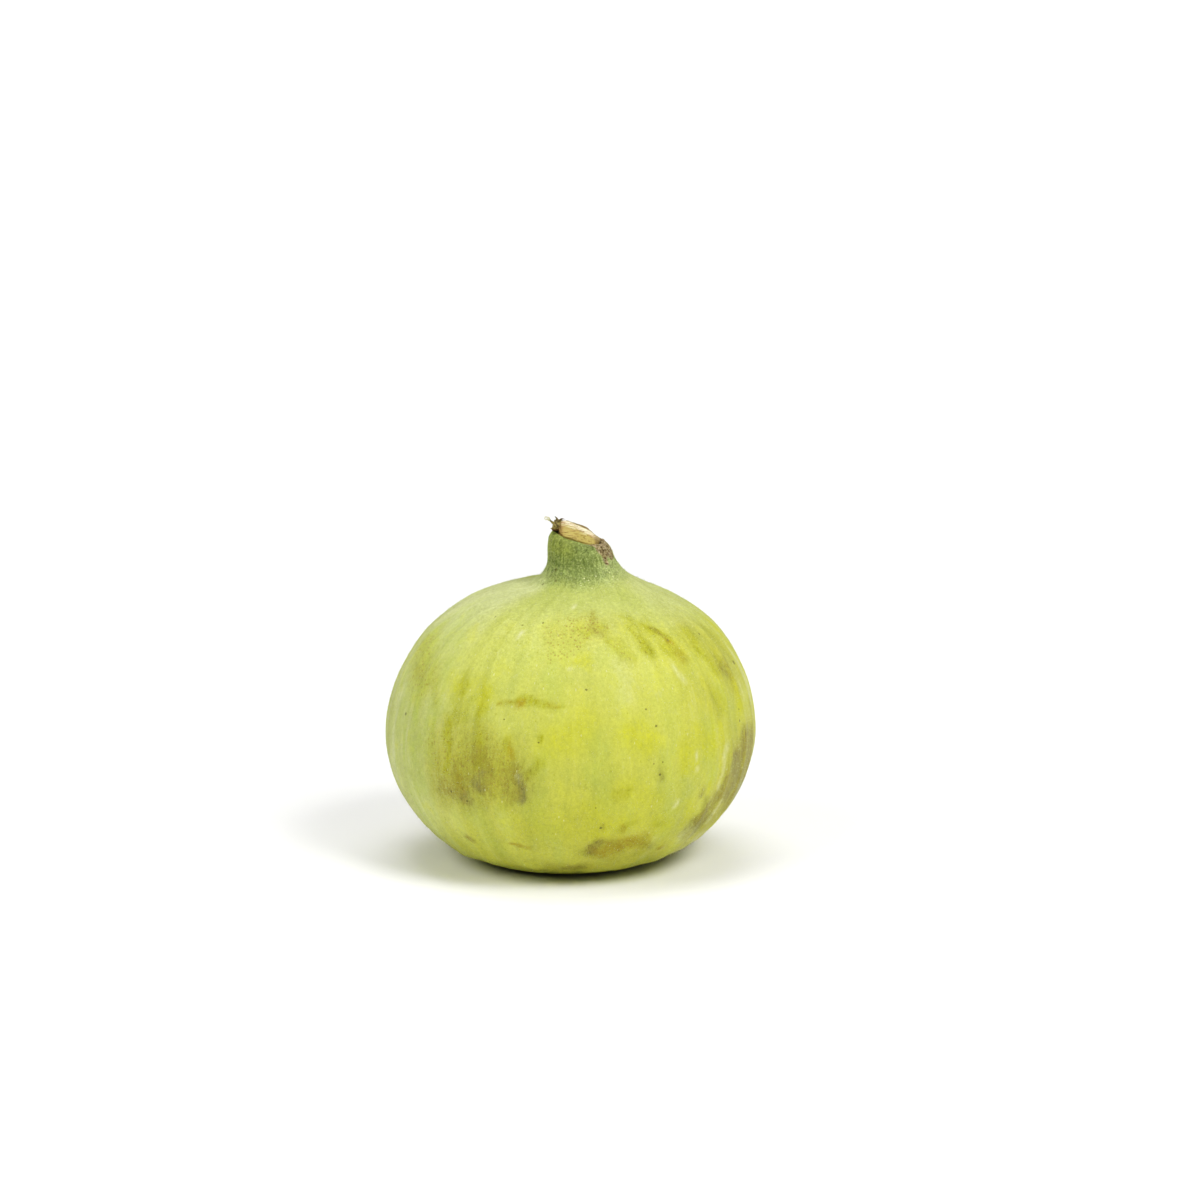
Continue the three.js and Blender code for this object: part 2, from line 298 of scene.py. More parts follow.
class Growth(Sketch):
    """A Geometry Nodes tree with named inputs, each given a number, a material or an object."""

    KINDS = {int: "NodeSocketInt", float: "NodeSocketFloat"}

    def __init__(self, name, material, **inputs):
        super().__init__(bpy.data.node_groups.new(name, "GeometryNodeTree"))
        self.inputs = {label.replace("_", " "): value for label, value in inputs.items()}
        self.inputs["Material"] = material
        sockets = self.tree.interface
        sockets.new_socket("Geometry", in_out="INPUT", socket_type="NodeSocketGeometry")
        for label, value in self.inputs.items():
            kind = self.KINDS.get(type(value))
            if kind is None:
                kind = "NodeSocketMaterial" if isinstance(value, bpy.types.Material) else "NodeSocketObject"
            sockets.new_socket(label, in_out="INPUT", socket_type=kind)
        sockets.new_socket("Geometry", in_out="OUTPUT", socket_type="NodeSocketGeometry")
        self.geometry = self.node("NodeGroupInput")
        self.spot = self.node("GeometryNodeInputPosition") * (1 / MM)
        self.outward = self.node("GeometryNodeInputNormal")

    def __getitem__(self, label):
        return self.geometry.beside(label)

    def kept(self, name, kind="FLOAT"):
        """What `store` keeps on the mesh under this name."""
        return self.node("GeometryNodeInputNamedAttribute", {"data_type": kind}, {"Name": name})

    def moved(self, geometry, offset_mm):
        return self.node("GeometryNodeSetPosition", {}, {"Geometry": geometry, "Offset": offset_mm * MM})

    def grow(self, source, geometry):
        """The finished mesh in place of the source object, with the same name."""
        real = self.node("GeometryNodeRealizeInstances", {}, {0: geometry})
        dressed = self.node("GeometryNodeSetMaterial", {}, {0: real, "Material": self["Material"]})
        self.feed(self.tree.nodes.new("NodeGroupOutput").inputs["Geometry"], dressed)
        modifier = source.modifiers.new(self.tree.name, "NODES")
        modifier.node_group = self.tree
        for item in self.tree.interface.items_tree:
            if item.in_out == "INPUT" and item.name in self.inputs:
                modifier[item.identifier] = self.inputs[item.name]
        shown = bpy.context.evaluated_depsgraph_get()
        mesh = bpy.data.meshes.new_from_object(
            source.evaluated_get(shown), preserve_all_data_layers=True, depsgraph=shown
        )
        source.modifiers.remove(modifier)
        name = source.name
        bare = source.data
        bpy.data.objects.remove(source)
        bpy.data.meshes.remove(bare)
        mesh.name = name
        mesh.shade_smooth()
        return object_of(mesh)


# --- Form of the fruit


def whole_turn(columns):
    """Evenly spaced angles round an axis, in radians."""
    return np.arange(columns) / columns * 2 * math.pi


DRAW_FACTOR, DRAW_STEP, DRAW_RANGE = 1664525, 1013904223, 2**32


def seeded_draw(seed):
    """Repeatable random numbers, 0 to 1: the same ones that place the ribs of the solid."""
    state = seed
    while True:
        state = (state * DRAW_FACTOR + DRAW_STEP) % DRAW_RANGE
        yield state / DRAW_RANGE


def smooth(value, low, high):
    """Smooth step from 0 at low to 1 at high."""
    share = np.clip((value - low) / (high - low), 0, 1)
    return share * share * (3 - 2 * share)


def through(points, station):
    """Points of the smooth curve through `points`: station 0 is the first one, 1 the second and so on."""
    points = np.asarray(points, float)
    last = len(points) - 1
    index = np.minimum(np.asarray(station).astype(int), last - 1)
    share = (station - index)[..., None]
    before = points[np.maximum(index - 1, 0)]
    start = points[index]
    end = points[index + 1]
    after = points[np.minimum(index + 2, last)]
    leave = (end - before) / 2
    arrive = (after - start) / 2
    cubic = (2 * start - 2 * end + leave + arrive) * share**3
    square = (3 * end - 3 * start - 2 * leave - arrive) * share**2
    return cubic + square + leave * share + start


class Skin:
    """The fruit's skin, as a function of the place on it."""

    def __init__(self):
        rows = np.array(SKIN, float)
        self.last = len(SKIN) - 1
        self.left = rows[:, 0:2]
        self.right = rows[:, 2:4]
        self.rib_heights = rows[:, 4]
        self.steps = np.linspace(0, self.last, OUTLINE_STEPS)
        left_length, right_length = (
            np.hypot(*np.diff(through(side, self.steps), axis=0).T).cumsum()
            for side in (self.left, self.right)
        )
        self.lengths = np.concatenate([[0], (left_length + right_length) / 2])
        self.length = float(self.lengths[-1])
        self.low_end = (SKIN[0][0], 0, SKIN[0][1])
        self.high_end = (SKIN[-1][0], 0, SKIN[-1][1])
        draw = seeded_draw(RIB_SEED)
        self.ribs = []
        for index in range(RIB_COUNT):
            offset = (next(draw) - 0.5) * 2 * RIB_SPREAD
            self.ribs.append(((index + offset) / RIB_COUNT * 2 * math.pi, 0.6 + 0.8 * next(draw)))

    def station(self, along):
        """Place in the outline's list of points, for a length along the skin."""
        return np.interp(along, self.lengths, self.steps)

    def along(self, station):
        return np.interp(station, self.steps, self.lengths)

    def radius(self, along):
        station = self.station(along)
        return (through(self.right, station)[..., 0] - through(self.left, station)[..., 0]) / 2

    def rib_profile(self, angle):
        """Height of the skin's ribs round the fruit, 1 being the crest of a middling rib."""
        relief = np.full_like(angle, -RIB_SUNK)
        for crest, height in self.ribs:
            away = (angle - crest + math.pi) % (2 * math.pi) - math.pi
            relief += height * np.exp(-((away * RIB_COUNT / (2 * math.pi) / RIB_WIDTH) ** 2))
        return relief

    def points(self, station, angle):
        """Places in millimetres for arrays of stations and of angles, angle 0 being +X."""
        left = through(self.left, station)
        right = through(self.right, station)
        radius = (right[..., 0] - left[..., 0]) / 2
        middle = (right[..., 0] + left[..., 0]) / 2
        share = (1 + np.cos(angle)) / 2
        height = left[..., 1] * (1 - share) + right[..., 1] * share
        wave = np.sin(2 * angle + 0.09 * height) + 0.7 * np.sin(3 * angle - 0.13 * height + 1.3)
        belly = smooth(height, 1, 12) * (1 - smooth(height, 34, 41))
        swelling = SWELL * np.sin(angle) ** 2 * wave * belly
        ribs = np.interp(station, np.arange(self.last + 1), self.rib_heights) * self.rib_profile(angle)
        push = 1 + (ribs + swelling) / np.maximum(radius, 0.5)
        near_rim = smooth(station, RIM_ROW - 1.5, RIM_ROW)
        ragged = RIM_RAGGED * np.sin(5 * angle + 0.8) * np.cos(2 * angle)
        tear = near_rim * (ragged - RIM_DROP * np.maximum(0, -np.sin(angle)))
        x = middle + radius * np.cos(angle) * push
        y = radius * np.sin(angle) * DEPTH_SHARE * push
        return np.stack([x, y, np.maximum(0, height + tear)], -1)


skin = Skin()

# --- Meshes


def closed_grid(name, rings, low_end, high_end):
    """Mesh of rings of points, in millimetres, closed by a single point at each end."""
    rows, columns = rings.shape[:2]
    points = np.concatenate([[low_end], rings.reshape(-1, 3), [high_end]]) * MM
    column = np.arange(columns)
    beside = np.roll(column, -1)
    faces = [(0, 1 + b, 1 + a) for a, b in zip(column, beside)]
    start = 1 + np.arange(rows - 1)[:, None] * columns
    quads = np.stack([start + column, start + beside, start + columns + beside, start + columns + column], -1)
    faces += quads.reshape(-1, 4).tolist()
    top = 1 + (rows - 1) * columns
    faces += [(len(points) - 1, top + a, top + b) for a, b in zip(column, beside)]
    mesh = bpy.data.meshes.new(name)
    mesh.from_pydata(points.tolist(), [], faces)
    mesh.shade_smooth()
    return mesh


def in_scene(name, data):
    """A new object in the scene: a mesh, a lamp or a lens."""
    made = bpy.data.objects.new(name, data)
    bpy.context.scene.collection.objects.link(made)
    return made


def object_of(mesh, *materials):
    made = in_scene(mesh.name, mesh)
    for material in materials:
        mesh.materials.append(material)
    return made


def store(mesh, name, values, kind="FLOAT"):
    """Keeps one number or vector for each point of the mesh."""
    layer = mesh.attributes.new(name, kind, "POINT")
    key = "value" if kind == "FLOAT" else "vector"
    layer.data.foreach_set(key, np.asarray(values, np.float32).ravel())


def with_ends(low, values, high):
    """A value for each point of a closed grid: its low end's, its rings' and its high end's."""
    return np.concatenate([[low], values, [high]])


# --- Marks on the skin

# Soft strokes: from place, to place, half width in millimetres, strength.
STROKES = {
    "stain": (
        ((-41, 42), (-41, 36), 3.2, 0.45), ((-40, 37), (-22, 38.5), 3.8, 0.5),
        ((-30, 42.8), (-29, 35), 2.5, 0.48), ((-22, 40.5), (-17, 36.5), 3, 0.45),
        ((-44, 33.5), (-34, 33.5), 1.6, 0.45), ((61, 37), (56, 28), 3.4, 0.74),
        ((74, 38), (71, 29), 3.6, 0.8), ((85, 39), (90, 33), 2.2, 0.4), ((14, 21), (34, 22), 2.6, 0.35),
        ((-8, 19.5), (8, 20), 1.6, 0.45), ((-4, 60), (13, 61.5), 2.4, 0.35),
        ((34, 59), (46, 55.5), 2.8, 0.22), ((62, 58), (74, 50), 3.4, 0.35), ((50, 49), (58, 43), 2.2, 0.22),
        ((-76, 53), (-62, 50), 2.4, 0.22),
    ),
    "olive": (
        ((-41.5, 51), (-41.2, 50.2), 0.8, 0.6), ((-43, 49), (-41, 46), 0.6, 0.35),
        ((-42.6, 45), (-40.6, 37), 0.7, 0.85), ((-36.5, 48.5), (-36, 46), 0.7, 0.5),
        ((-41, 50), (-39, 45), 0.8, 0.45), ((-31, 50.2), (-30.6, 47.4), 0.75, 0.45),
        ((-30.5, 47), (-29.6, 42.8), 0.7, 0.6), ((-29.6, 42.5), (-29, 38.8), 0.7, 0.8),
        ((-20.4, 43.4), (-19.6, 41.8), 0.45, 0.65), ((-10.1, 43.8), (-10.1, 43.4), 0.35, 0.9),
        ((-10, 40.2), (-12.6, 38.2), 0.6, 0.6), ((-17.6, 48.9), (-12.5, 48.8), 0.65, 0.85),
        ((-12.5, 48.9), (-9, 48.6), 0.42, 0.7), ((-25.6, 48.5), (-18.8, 48.7), 0.28, 0.7),
        ((-8.6, 48.5), (-3.6, 48.4), 0.3, 0.6), ((3.6, 61.2), (7, 59.8), 0.8, 0.45),
        ((7.4, 59.8), (12, 61.2), 1, 0.5), ((12.6, 61.2), (18.6, 58.7), 0.7, 0.5),
        ((18.8, 58.4), (23, 55.6), 0.8, 0.6), ((29, 63.8), (30.2, 61.2), 0.8, 0.5),
        ((30, 60.4), (31.6, 57.4), 0.5, 0.85), ((31.8, 57), (33.4, 55.6), 0.8, 0.95),
        ((38.2, 60.8), (40.6, 59.4), 0.9, 0.95), ((41, 59), (43.6, 57.2), 0.8, 0.75),
        ((43.8, 56.8), (46.4, 54.4), 1.1, 0.55), ((60.2, 58.6), (57.8, 54.4), 0.7, 0.55),
        ((57.8, 54), (60.6, 50.8), 0.7, 0.55), ((52, 48.6), (55.6, 45.4), 0.9, 0.4),
        ((74, 57), (77, 52), 0.9, 0.5), ((81, 44), (80, 39), 0.9, 0.7), ((86, 36), (93, 34.5), 1.2, 0.5),
        ((84, 30), (88, 26), 1, 0.45), ((14.6, 35), (18.4, 35.2), 0.7, 0.55),
        ((17.4, 28.9), (22.6, 30.4), 0.6, 0.45), ((31.6, 29.4), (33, 29.2), 0.7, 0.5),
        ((-18.6, 18.2), (-12.4, 18.4), 0.7, 0.95), ((3, 18.8), (7.4, 19), 0.7, 0.8),
        ((-54, 50), (-50, 46.5), 0.9, 0.4),
    ),
    "yellow": (
        ((-6, 43), (2, 45), 2.2, 0.6), ((20, 44.6), (23.4, 42.6), 1.9, 0.8),
        ((17, 36.2), (27, 34), 2, 0.55), ((38.6, 41), (40, 38.4), 1.3, 0.75),
        ((45, 42.4), (47, 40.6), 1.3, 0.75), ((55.4, 46.8), (56.6, 44.8), 1, 0.7),
        ((70.2, 47.2), (69.8, 44.8), 1.2, 1), ((66, 41.5), (67.5, 45.5), 0.8, 0.6),
        ((31, 60), (46, 54), 2.6, 0.45), ((3, 55.4), (5.4, 54.8), 0.8, 0.85),
        ((-44, 50.4), (-30, 49.8), 1.8, 0.45), ((-31.2, 50), (-30.4, 46.6), 0.8, 1),
        ((-20, 41.8), (-19.2, 41), 0.6, 0.7), ((-12, 30.5), (10, 31), 3.2, 0.4),
        ((12, 29.5), (24, 30.6), 1.6, 0.5), ((31, 30), (33.4, 28.6), 1.2, 0.7),
        ((41.6, 31.4), (43.6, 29.8), 1.3, 0.65), ((-22, 40), (-22, 34), 1.2, 0.35),
        ((8, 33), (12, 26), 1.2, 0.3), ((57, 57), (59, 50), 1.4, 0.45),
    ),
    "bruise": (
        ((-42, 34.6), (-35, 33.2), 1, 0.5), ((-38, 38), (-36, 35), 1.2, 0.32),
        ((-28.6, 41), (-28.4, 36), 0.9, 0.5), ((-31, 37.4), (-17, 38), 2.4, 0.22),
        ((-25.6, 39), (-25.2, 35.4), 0.7, 0.45), ((-20.6, 38.2), (-20, 35.2), 0.8, 0.4),
        ((-17.4, 39.4), (-16, 35.6), 0.8, 0.5), ((-40, 26.2), (-38.8, 25.5), 0.5, 0.75),
        ((10.2, 64.4), (11.4, 61.6), 0.9, 0.75), ((11.8, 61.4), (13.6, 60.8), 0.8, 0.5),
        ((41.4, 60), (44, 57.6), 0.35, 0.7), ((71, 39.6), (66, 36.6), 1.6, 0.8),
        ((61, 38), (60, 34), 1.2, 0.75), ((65, 37.6), (64, 32.4), 1.8, 0.95),
        ((65.4, 32), (66.4, 30.4), 1, 0.8), ((74, 39), (74, 30), 2.2, 0.8),
        ((79.5, 39.5), (78, 31.5), 1.4, 0.7), ((84.5, 33.5), (85.5, 30), 1, 0.5),
        ((57, 32.5), (54, 29), 1.6, 0.92), ((54, 29), (52.2, 26.2), 1.7, 0.9),
        ((46.2, 34.4), (46.8, 33), 0.6, 0.6), ((49.4, 32.6), (50.2, 31), 0.45, 0.55),
        ((67.2, 51.2), (67.8, 48.8), 1.1, 0.65), ((28.2, 38.4), (28.6, 37.4), 0.5, 0.5),
        ((10, 30), (10.5, 29.5), 0.5, 0.5), ((7.4, 24.6), (11, 26.2), 1.3, 0.95),
        ((16, 26.4), (19, 24.2), 0.8, 0.5), ((0, 20.4), (5, 19.4), 0.8, 0.7),
        ((30.5, 25.4), (32.5, 25), 0.9, 0.5), ((-72, 51), (-63, 49.6), 0.8, 0.3),
    ),
    "grey": (
        ((-28.8, 38), (-29.2, 35.2), 0.55, 0.95), ((-15.6, 37.8), (-14.4, 36.2), 0.45, 0.9),
        ((-14.4, 36.2), (-15.2, 34.6), 0.5, 0.95), ((-35, 33.6), (-34, 33), 0.6, 0.6),
        ((64.6, 36.4), (64.2, 32.8), 1.2, 0.6), ((52.8, 29), (52.4, 27), 1, 0.5),
        ((9, 25.2), (11, 26.4), 0.8, 0.5), ((-71, 52), (-66, 50), 1, 0.35),
    ),
    "ochre": (
        ((14, 24.6), (22, 25.8), 1.9, 0.95), ((22, 25.2), (26, 25.4), 1.2, 0.6),
        ((18.2, 29.8), (19, 29), 0.35, 0.7), ((37.2, 23.4), (38, 23.2), 0.45, 0.8),
        ((-20.8, 26.2), (-18, 25.6), 0.32, 0.95), ((-17.6, 25.4), (-15.6, 25.2), 0.28, 0.7),
        ((-40.2, 26.2), (-39.2, 25.6), 0.4, 0.5), ((-19.8, 42), (-19, 41), 0.55, 0.7),
        ((-18.2, 48.4), (-16.8, 48.5), 0.6, 0.8), ((-25.4, 48.5), (-20.4, 48.6), 0.22, 0.7),
        ((-8, 48.5), (-4.4, 48.4), 0.24, 0.5), ((44, 57.3), (45, 57), 0.4, 0.8),
        ((44.6, 55.6), (46.6, 53.8), 0.7, 0.45), ((-38, 36.6), (-36, 34.4), 1, 0.35),
    ),
    "pale": (
        ((-88, 57.9), (-88, 65.1), 1, 0.4), ((-25.6, 59.2), (-24.8, 60.6), 0.28, 0.65),
        ((-2.4, 66.4), (-2, 67.2), 0.25, 0.6), ((-0.9, 53.9), (-0.5, 54.1), 0.22, 0.6),
        ((40.2, 53.6), (41.8, 51.4), 0.7, 0.5), ((83.9, 51.8), (85.2, 44.4), 0.8, 0.45),
        ((75, 47.6), (75.2, 45.2), 0.5, 0.4), ((77, 31), (73.6, 24), 0.8, 0.45),
        ((42.2, 40.2), (42.4, 39.4), 0.25, 0.7), ((42.6, 38), (42.6, 37.4), 0.25, 0.7),
        ((36.2, 32), (36.9, 33), 0.28, 0.8), ((54.8, 34.6), (55.4, 33.6), 0.35, 0.7),
        ((-74.2, 46), (-74.4, 32.7), 1.2, 0.35), ((57, 40), (55, 35.5), 0.5, 0.5),
        ((18.8, 53.5), (19.4, 49.5), 1.2, 0.18), ((-16.6, 38), (-15.8, 37.4), 0.3, 0.4),
        ((60.5, 30.6), (58.5, 27), 0.5, 0.6), ((48, 26), (51, 24), 1.2, 0.4),
    ),
    "green": (
        ((8, 44), (11, 33), 1.8, 0.5), ((38, 37), (42, 27), 1.8, 0.3), ((30.2, 41), (34, 28), 1.3, 0.45),
        ((-61.6, 49), (-60, 45), 0.45, 0.9), ((-60, 45), (-54.6, 41), 0.5, 0.6),
        ((-57, 41), (-54, 33), 1.2, 0.5), ((-67.6, 52.8), (-67.2, 51.8), 0.8, 0.8),
        ((-61, 60), (-57, 57), 2.2, 0.5), ((-79, 58), (-74, 51), 1.6, 0.6),
        ((-70, 54), (-62, 50), 2.2, 0.5), ((-52, 53), (-49, 50.5), 1.4, 0.4),
        ((-50, 46), (-48, 38), 1.3, 0.45), ((-10.5, 40), (-9.5, 28), 1.6, 0.4),
        ((58, 47), (62, 41), 1.6, 0.45), ((48, 44), (50, 36), 1.4, 0.4), ((-31, 33), (-30, 24), 1.6, 0.45),
        ((-4, 57), (-8, 51.5), 2.2, 0.35), ((-74, 45), (-74, 34), 0.7, 0.5), ((16, 56), (14, 50), 1.8, 0.3),
        ((-20, 56), (-22, 51), 2, 0.25),
    ),
    "haze": (
        ((-5.4, 61.6), (2, 62), 2.4, 1), ((-1, 60), (2.6, 58.8), 2, 0.95),
        ((-7.6, 58), (-4.6, 55.6), 1.5, 0.8), ((9, 62.6), (13, 61), 1.6, 0.7),
        ((18, 57.6), (22, 55.6), 1, 0.5), ((-44, 40), (-24, 37), 3.6, 0.55),
        ((-76, 54), (-61, 49), 2.6, 0.9), ((16, 24.6), (27, 25.6), 2, 0.6), ((62, 36), (57, 28), 3.2, 0.4),
    ),
    "crust": (
        ((30, 78.9), (62, 78.5), 0.4, 0.9), ((56, 79.1), (112, 79.1), 0.65, 1),
        ((46, 78), (62, 77.4), 0.7, 1), ((58, 78), (88, 77.4), 0.8, 1),
        ((56, 77.2), (74, 76.2), 0.75, 0.75), ((44, 77.6), (54, 76.9), 0.5, 0.9),
        ((47.5, 77.2), (49, 75.2), 0.42, 1), ((64, 75.8), (80, 76), 0.5, 0.45),
    ),
}
# Dark specks: turn, along, radius in millimetres.
SPECKS = (
    (-26.6, 61.6, 0.14), (-16.3, 62.4, 0.16), (-46.6, 62.4, 0.12), (-47.2, 74.6, 0.22), (-38.4, 73.1, 0.2),
    (-57, 72.3, 0.16), (-40.2, 34.3, 0.19), (-34.4, 33.2, 0.16), (-65.7, 43.7, 0.24), (5.1, 50.8, 0.15),
    (24.8, 47.4, 0.14), (27.6, 44.9, 0.17), (28.4, 37.9, 0.16), (67, 42.6, 0.2), (68, 44.2, 0.13),
    (78.4, 50.2, 0.29), (65.6, 56.5, 0.17), (44.3, 57.2, 0.16), (10.3, 29.7, 0.19), (26.2, 39.6, 0.11),
    (29.2, 39.7, 0.1), (-22.3, 46.1, 0.12), (-10.2, 43.1, 0.13), (8.2, 33.4, 0.1),
)
FAR_CLUSTERS = 9              # groups of marks on the far side of the fruit
FAR_KINDS = ("olive", "bruise", "olive", "yellow", "green", "olive", "grey", "ochre", "pale")
FAR_SEED = 53
FAR_TURNS = (104, 256)        # between which the middles of the groups lie
FAR_ALONG = (24, 62)
STROKE_WAVER = 0.55           # how far the edge of a mark wanders, in millimetres
CRUST_WAVER = 0.12
DRIFT_WAVES = 9               # waves added up to make one wandering


def drift(turn, along, size, seed):
    """A smooth random number for each place on the skin, about -1 to 1, changing over `size` millimetres."""
    draw = seeded_draw(seed)
    around = np.radians(turn)
    place = np.stack([BELLY_RADIUS * np.cos(around), BELLY_RADIUS * np.sin(around), along], -1)
    total = 0
    for _ in range(DRIFT_WAVES):
        heading = np.array([next(draw) - 0.5 for _ in range(3)])
        heading /= np.linalg.norm(heading)
        pitch = 2 * math.pi / (size * (0.7 + 1.2 * next(draw)))
        total = total + np.sin(place @ heading * pitch + 2 * math.pi * next(draw))
    return total / math.sqrt(DRIFT_WAVES)


def far_side_strokes():
    """Clusters of marks like those of the front, strewn over the back by a seeded draw."""
    draw = seeded_draw(FAR_SEED)
    strewn = {kind: [] for kind in STROKES}
    for cluster in range(FAR_CLUSTERS):
        middle_turn = FAR_TURNS[0] + (FAR_TURNS[1] - FAR_TURNS[0]) * (cluster + next(draw)) / FAR_CLUSTERS
        middle_along = FAR_ALONG[0] + (FAR_ALONG[1] - FAR_ALONG[0]) * next(draw)
        strength = 0.35 + 0.5 * next(draw)
        low, high = (middle_turn, middle_along - 2), (middle_turn + 3, middle_along + 2)
        strewn["stain"].append((low, high, 2.6, 0.3))
        for index in range(3 + int(5 * next(draw))):
            turn = middle_turn + 16 * (next(draw) - 0.5)
            along = middle_along + 9 * (next(draw) - 0.5)
            length = 0.6 + 6 * next(draw) ** 2
            lean = 4 * (next(draw) - 0.5)
            width = 0.3 + 0.6 * next(draw) ** 2
            mark = ((turn, along), (turn + lean, along + length), width, strength * (0.6 + 0.6 * next(draw)))
            strewn[FAR_KINDS[(index + 2 * cluster) % len(FAR_KINDS)]].append(mark)
    return strewn


def stroke_mask(turn, along, strokes, waver, seed):
    """How strongly the strokes mark each place, 0 to 1, with edges that waver."""
    clear = np.ones_like(turn)
    radius = skin.radius(along)
    aside = waver * (drift(turn, along, 5, seed) + 0.6 * drift(turn, along, 2, seed + 1))
    upward = waver * (drift(turn, along, 6, seed + 2) + 0.6 * drift(turn, along, 2.2, seed + 3))
    for (turn_a, along_a), (turn_b, along_b), half_width, strength in strokes:
        share_of_waver = min(1, half_width)
        middle = float(skin.radius(np.array((along_a + along_b) / 2)))
        across = np.radians((turn - turn_a + 180) % 360 - 180) * radius + aside * share_of_waver
        up = along - along_a + upward * share_of_waver
        end_across = np.radians(turn_b - turn_a) * middle
        end_up = along_b - along_a
        length = max(end_across**2 + end_up**2, 1e-6)
        share = np.clip((across * end_across + up * end_up) / length, 0, 1)
        away = np.hypot(across - share * end_across, up - share * end_up)
        clear *= 1 - strength * (1 - smooth(away, 0.1 * half_width, 1.9 * half_width))
    return 1 - clear


# --- Fruit


def skin_rows():
    """Stations of the mesh's rings, closer together where the outline bends sharply."""
    along = np.linspace(0, skin.length, 2 * OUTLINE_STEPS)
    rows_so_far = np.cumsum(1 + 2.2 * smooth(along, 66, 71) + 0.8 * (1 - smooth(along, 6, 10)))
    wanted = np.linspace(rows_so_far[0], rows_so_far[-1], SKIN_ROWS + 2)[1:-1]
    return np.interp(wanted, rows_so_far, skin.station(along))


def fruit_mesh():
    """The whole skin, which keeps for its materials where each point lies and how marked it is."""
    station, angle = np.meshgrid(skin_rows(), whole_turn(SKIN_COLUMNS), indexing="ij")
    mesh = closed_grid("fig_skin", skin.points(station, angle), skin.low_end, skin.high_end)
    along = skin.along(station)
    turn = np.degrees(angle) + 90
    # the skin drawn out into a tube, in radii of the belly
    place = np.stack([np.cos(angle), np.sin(angle), along / BELLY_RADIUS], -1).reshape(-1, 3)
    place = with_ends((0, 0, 0), place, (0, 0, skin.length / BELLY_RADIUS))
    store(mesh, "skin_place", place, "FLOAT_VECTOR")
    store(mesh, "along", with_ends(0, along.ravel(), skin.length))
    strewn = far_side_strokes()
    for order, (kind, strokes) in enumerate(STROKES.items()):
        waver = CRUST_WAVER if kind == "crust" else STROKE_WAVER
        marks = stroke_mask(turn, along, [*strokes, *strewn[kind]], waver, 100 + 10 * order)
        store(mesh, kind, with_ends(0, marks.ravel(), 0))
    return mesh


def relieved_skin(mesh, material):
    """The skin with veins, soft dents, low lobes round the base and crust raised from its surface."""
    tree = Growth(
        "skin relief",
        material,
        Vein_height=0.07,
        Fine_vein_height=0.03,
        Dent_depth=0.16,
        Lobe_height=0.9,
        Crust_height=0.55,
        Seed=3.0,
    )
    place = tree.kept("skin_place", "FLOAT_VECTOR")
    shift = tree["Seed"] * (1.0, 0.7, 0.4)
    along = tree.kept("along")
    height = tree.axis(tree.spot, "Z")
    veins = tree.noise(place * (15, 15, 1.1) + shift, 1.0).swing
    fine = tree.noise(place * (42, 42, 2.2) + shift, 1.0).swing
    dents = tree.noise(tree.spot * (0.14, 0.14, 0.14) + shift, 1.0, 1.0).swing
    lobes = tree.noise(tree.spot * (0.24, 0.24, 0.24) + shift, 1.0, 1.0).swing
    lumps = tree.noise(tree.spot + shift, 2.2, 3.0, 0.65) - 0.36
    veined = height.ramp(0.1, 2.5) * along.ramp(78.6, 76) * (along.ramp(70, 56) + along.ramp(72, 74) * 0.6)
    raised = (veins * tree["Vein height"] * 2 + fine * tree["Fine vein height"] * 2) * veined
    raised = raised + dents * tree["Dent depth"] * height.ramp(1, 9) * along.ramp(70, 60)
    raised = raised + lobes * tree["Lobe height"] * height.ramp(0.3, 2.0) * along.ramp(27, 19)
    raised = raised + tree.kept("crust") * lumps * tree["Crust height"]
    return tree.grow(object_of(mesh), tree.moved(tree.geometry, tree.outward * raised))


def fuzz(fruit, material):
    """Fine short hairs over the skin, thicker on the neck and none where the fruit rests."""
    tree = Growth(
        "skin fuzz",
        material,
        Hairs_each_square_millimetre=3.6,
        Hair_length=0.32,
        Hair_thickness=0.034,
        Lean=0.5,
        Seed=11,
    )
    height = tree.axis(tree.spot, "Z")
    crowd = (0.8 + height.ramp(39, 44) * 1.6) * height.ramp(0.6, 2.5)
    crowd = crowd * (1 - tree.kept("along").ramp(77.5, 78.5))
    density = crowd * tree["Hairs each square millimetre"] * (1 / MM**2)
    roots = tree.node(
        "GeometryNodeDistributePointsOnFaces",
        {},
        {"Mesh": tree.geometry, "Density": density, "Seed": tree["Seed"]},
    )
    foot = {"Vertices": 3, "Radius Bottom": tree["Hair thickness"] * (0.5 * MM)}
    tip = {"Radius Top": 0.0, "Depth": tree["Hair length"] * MM}
    hair = tree.node("GeometryNodeMeshCone", {"fill_type": "NGON"}, foot | tip)
    any_way = {0: (-1.0, -1.0, 0.0), 1: (1.0, 1.0, 6.28), "Seed": tree["Seed"]}
    lean = tree.node("FunctionNodeRandomValue", {"data_type": "FLOAT_VECTOR"}, any_way)
    lean = lean * tree.node("ShaderNodeCombineXYZ", {}, {0: tree["Lean"], 1: tree["Lean"], 2: 1.0})
    turned = tree.node(
        "FunctionNodeRotateRotation", {"rotation_space": "LOCAL"}, {0: roots.beside("Rotation"), 1: lean}
    )
    size = tree.node("FunctionNodeRandomValue", {"data_type": "FLOAT"}, {2: 0.5, 3: 1.25, "Seed": 5}, 1)
    hairs = tree.node(
        "GeometryNodeInstanceOnPoints",
        {},
        {"Points": roots, "Instance": hair, "Rotation": turned, "Scale": size},
    )
    source = in_scene("fig_fuzz", fruit.data.copy())
    source.data.materials.clear()
    return tree.grow(source, hairs)


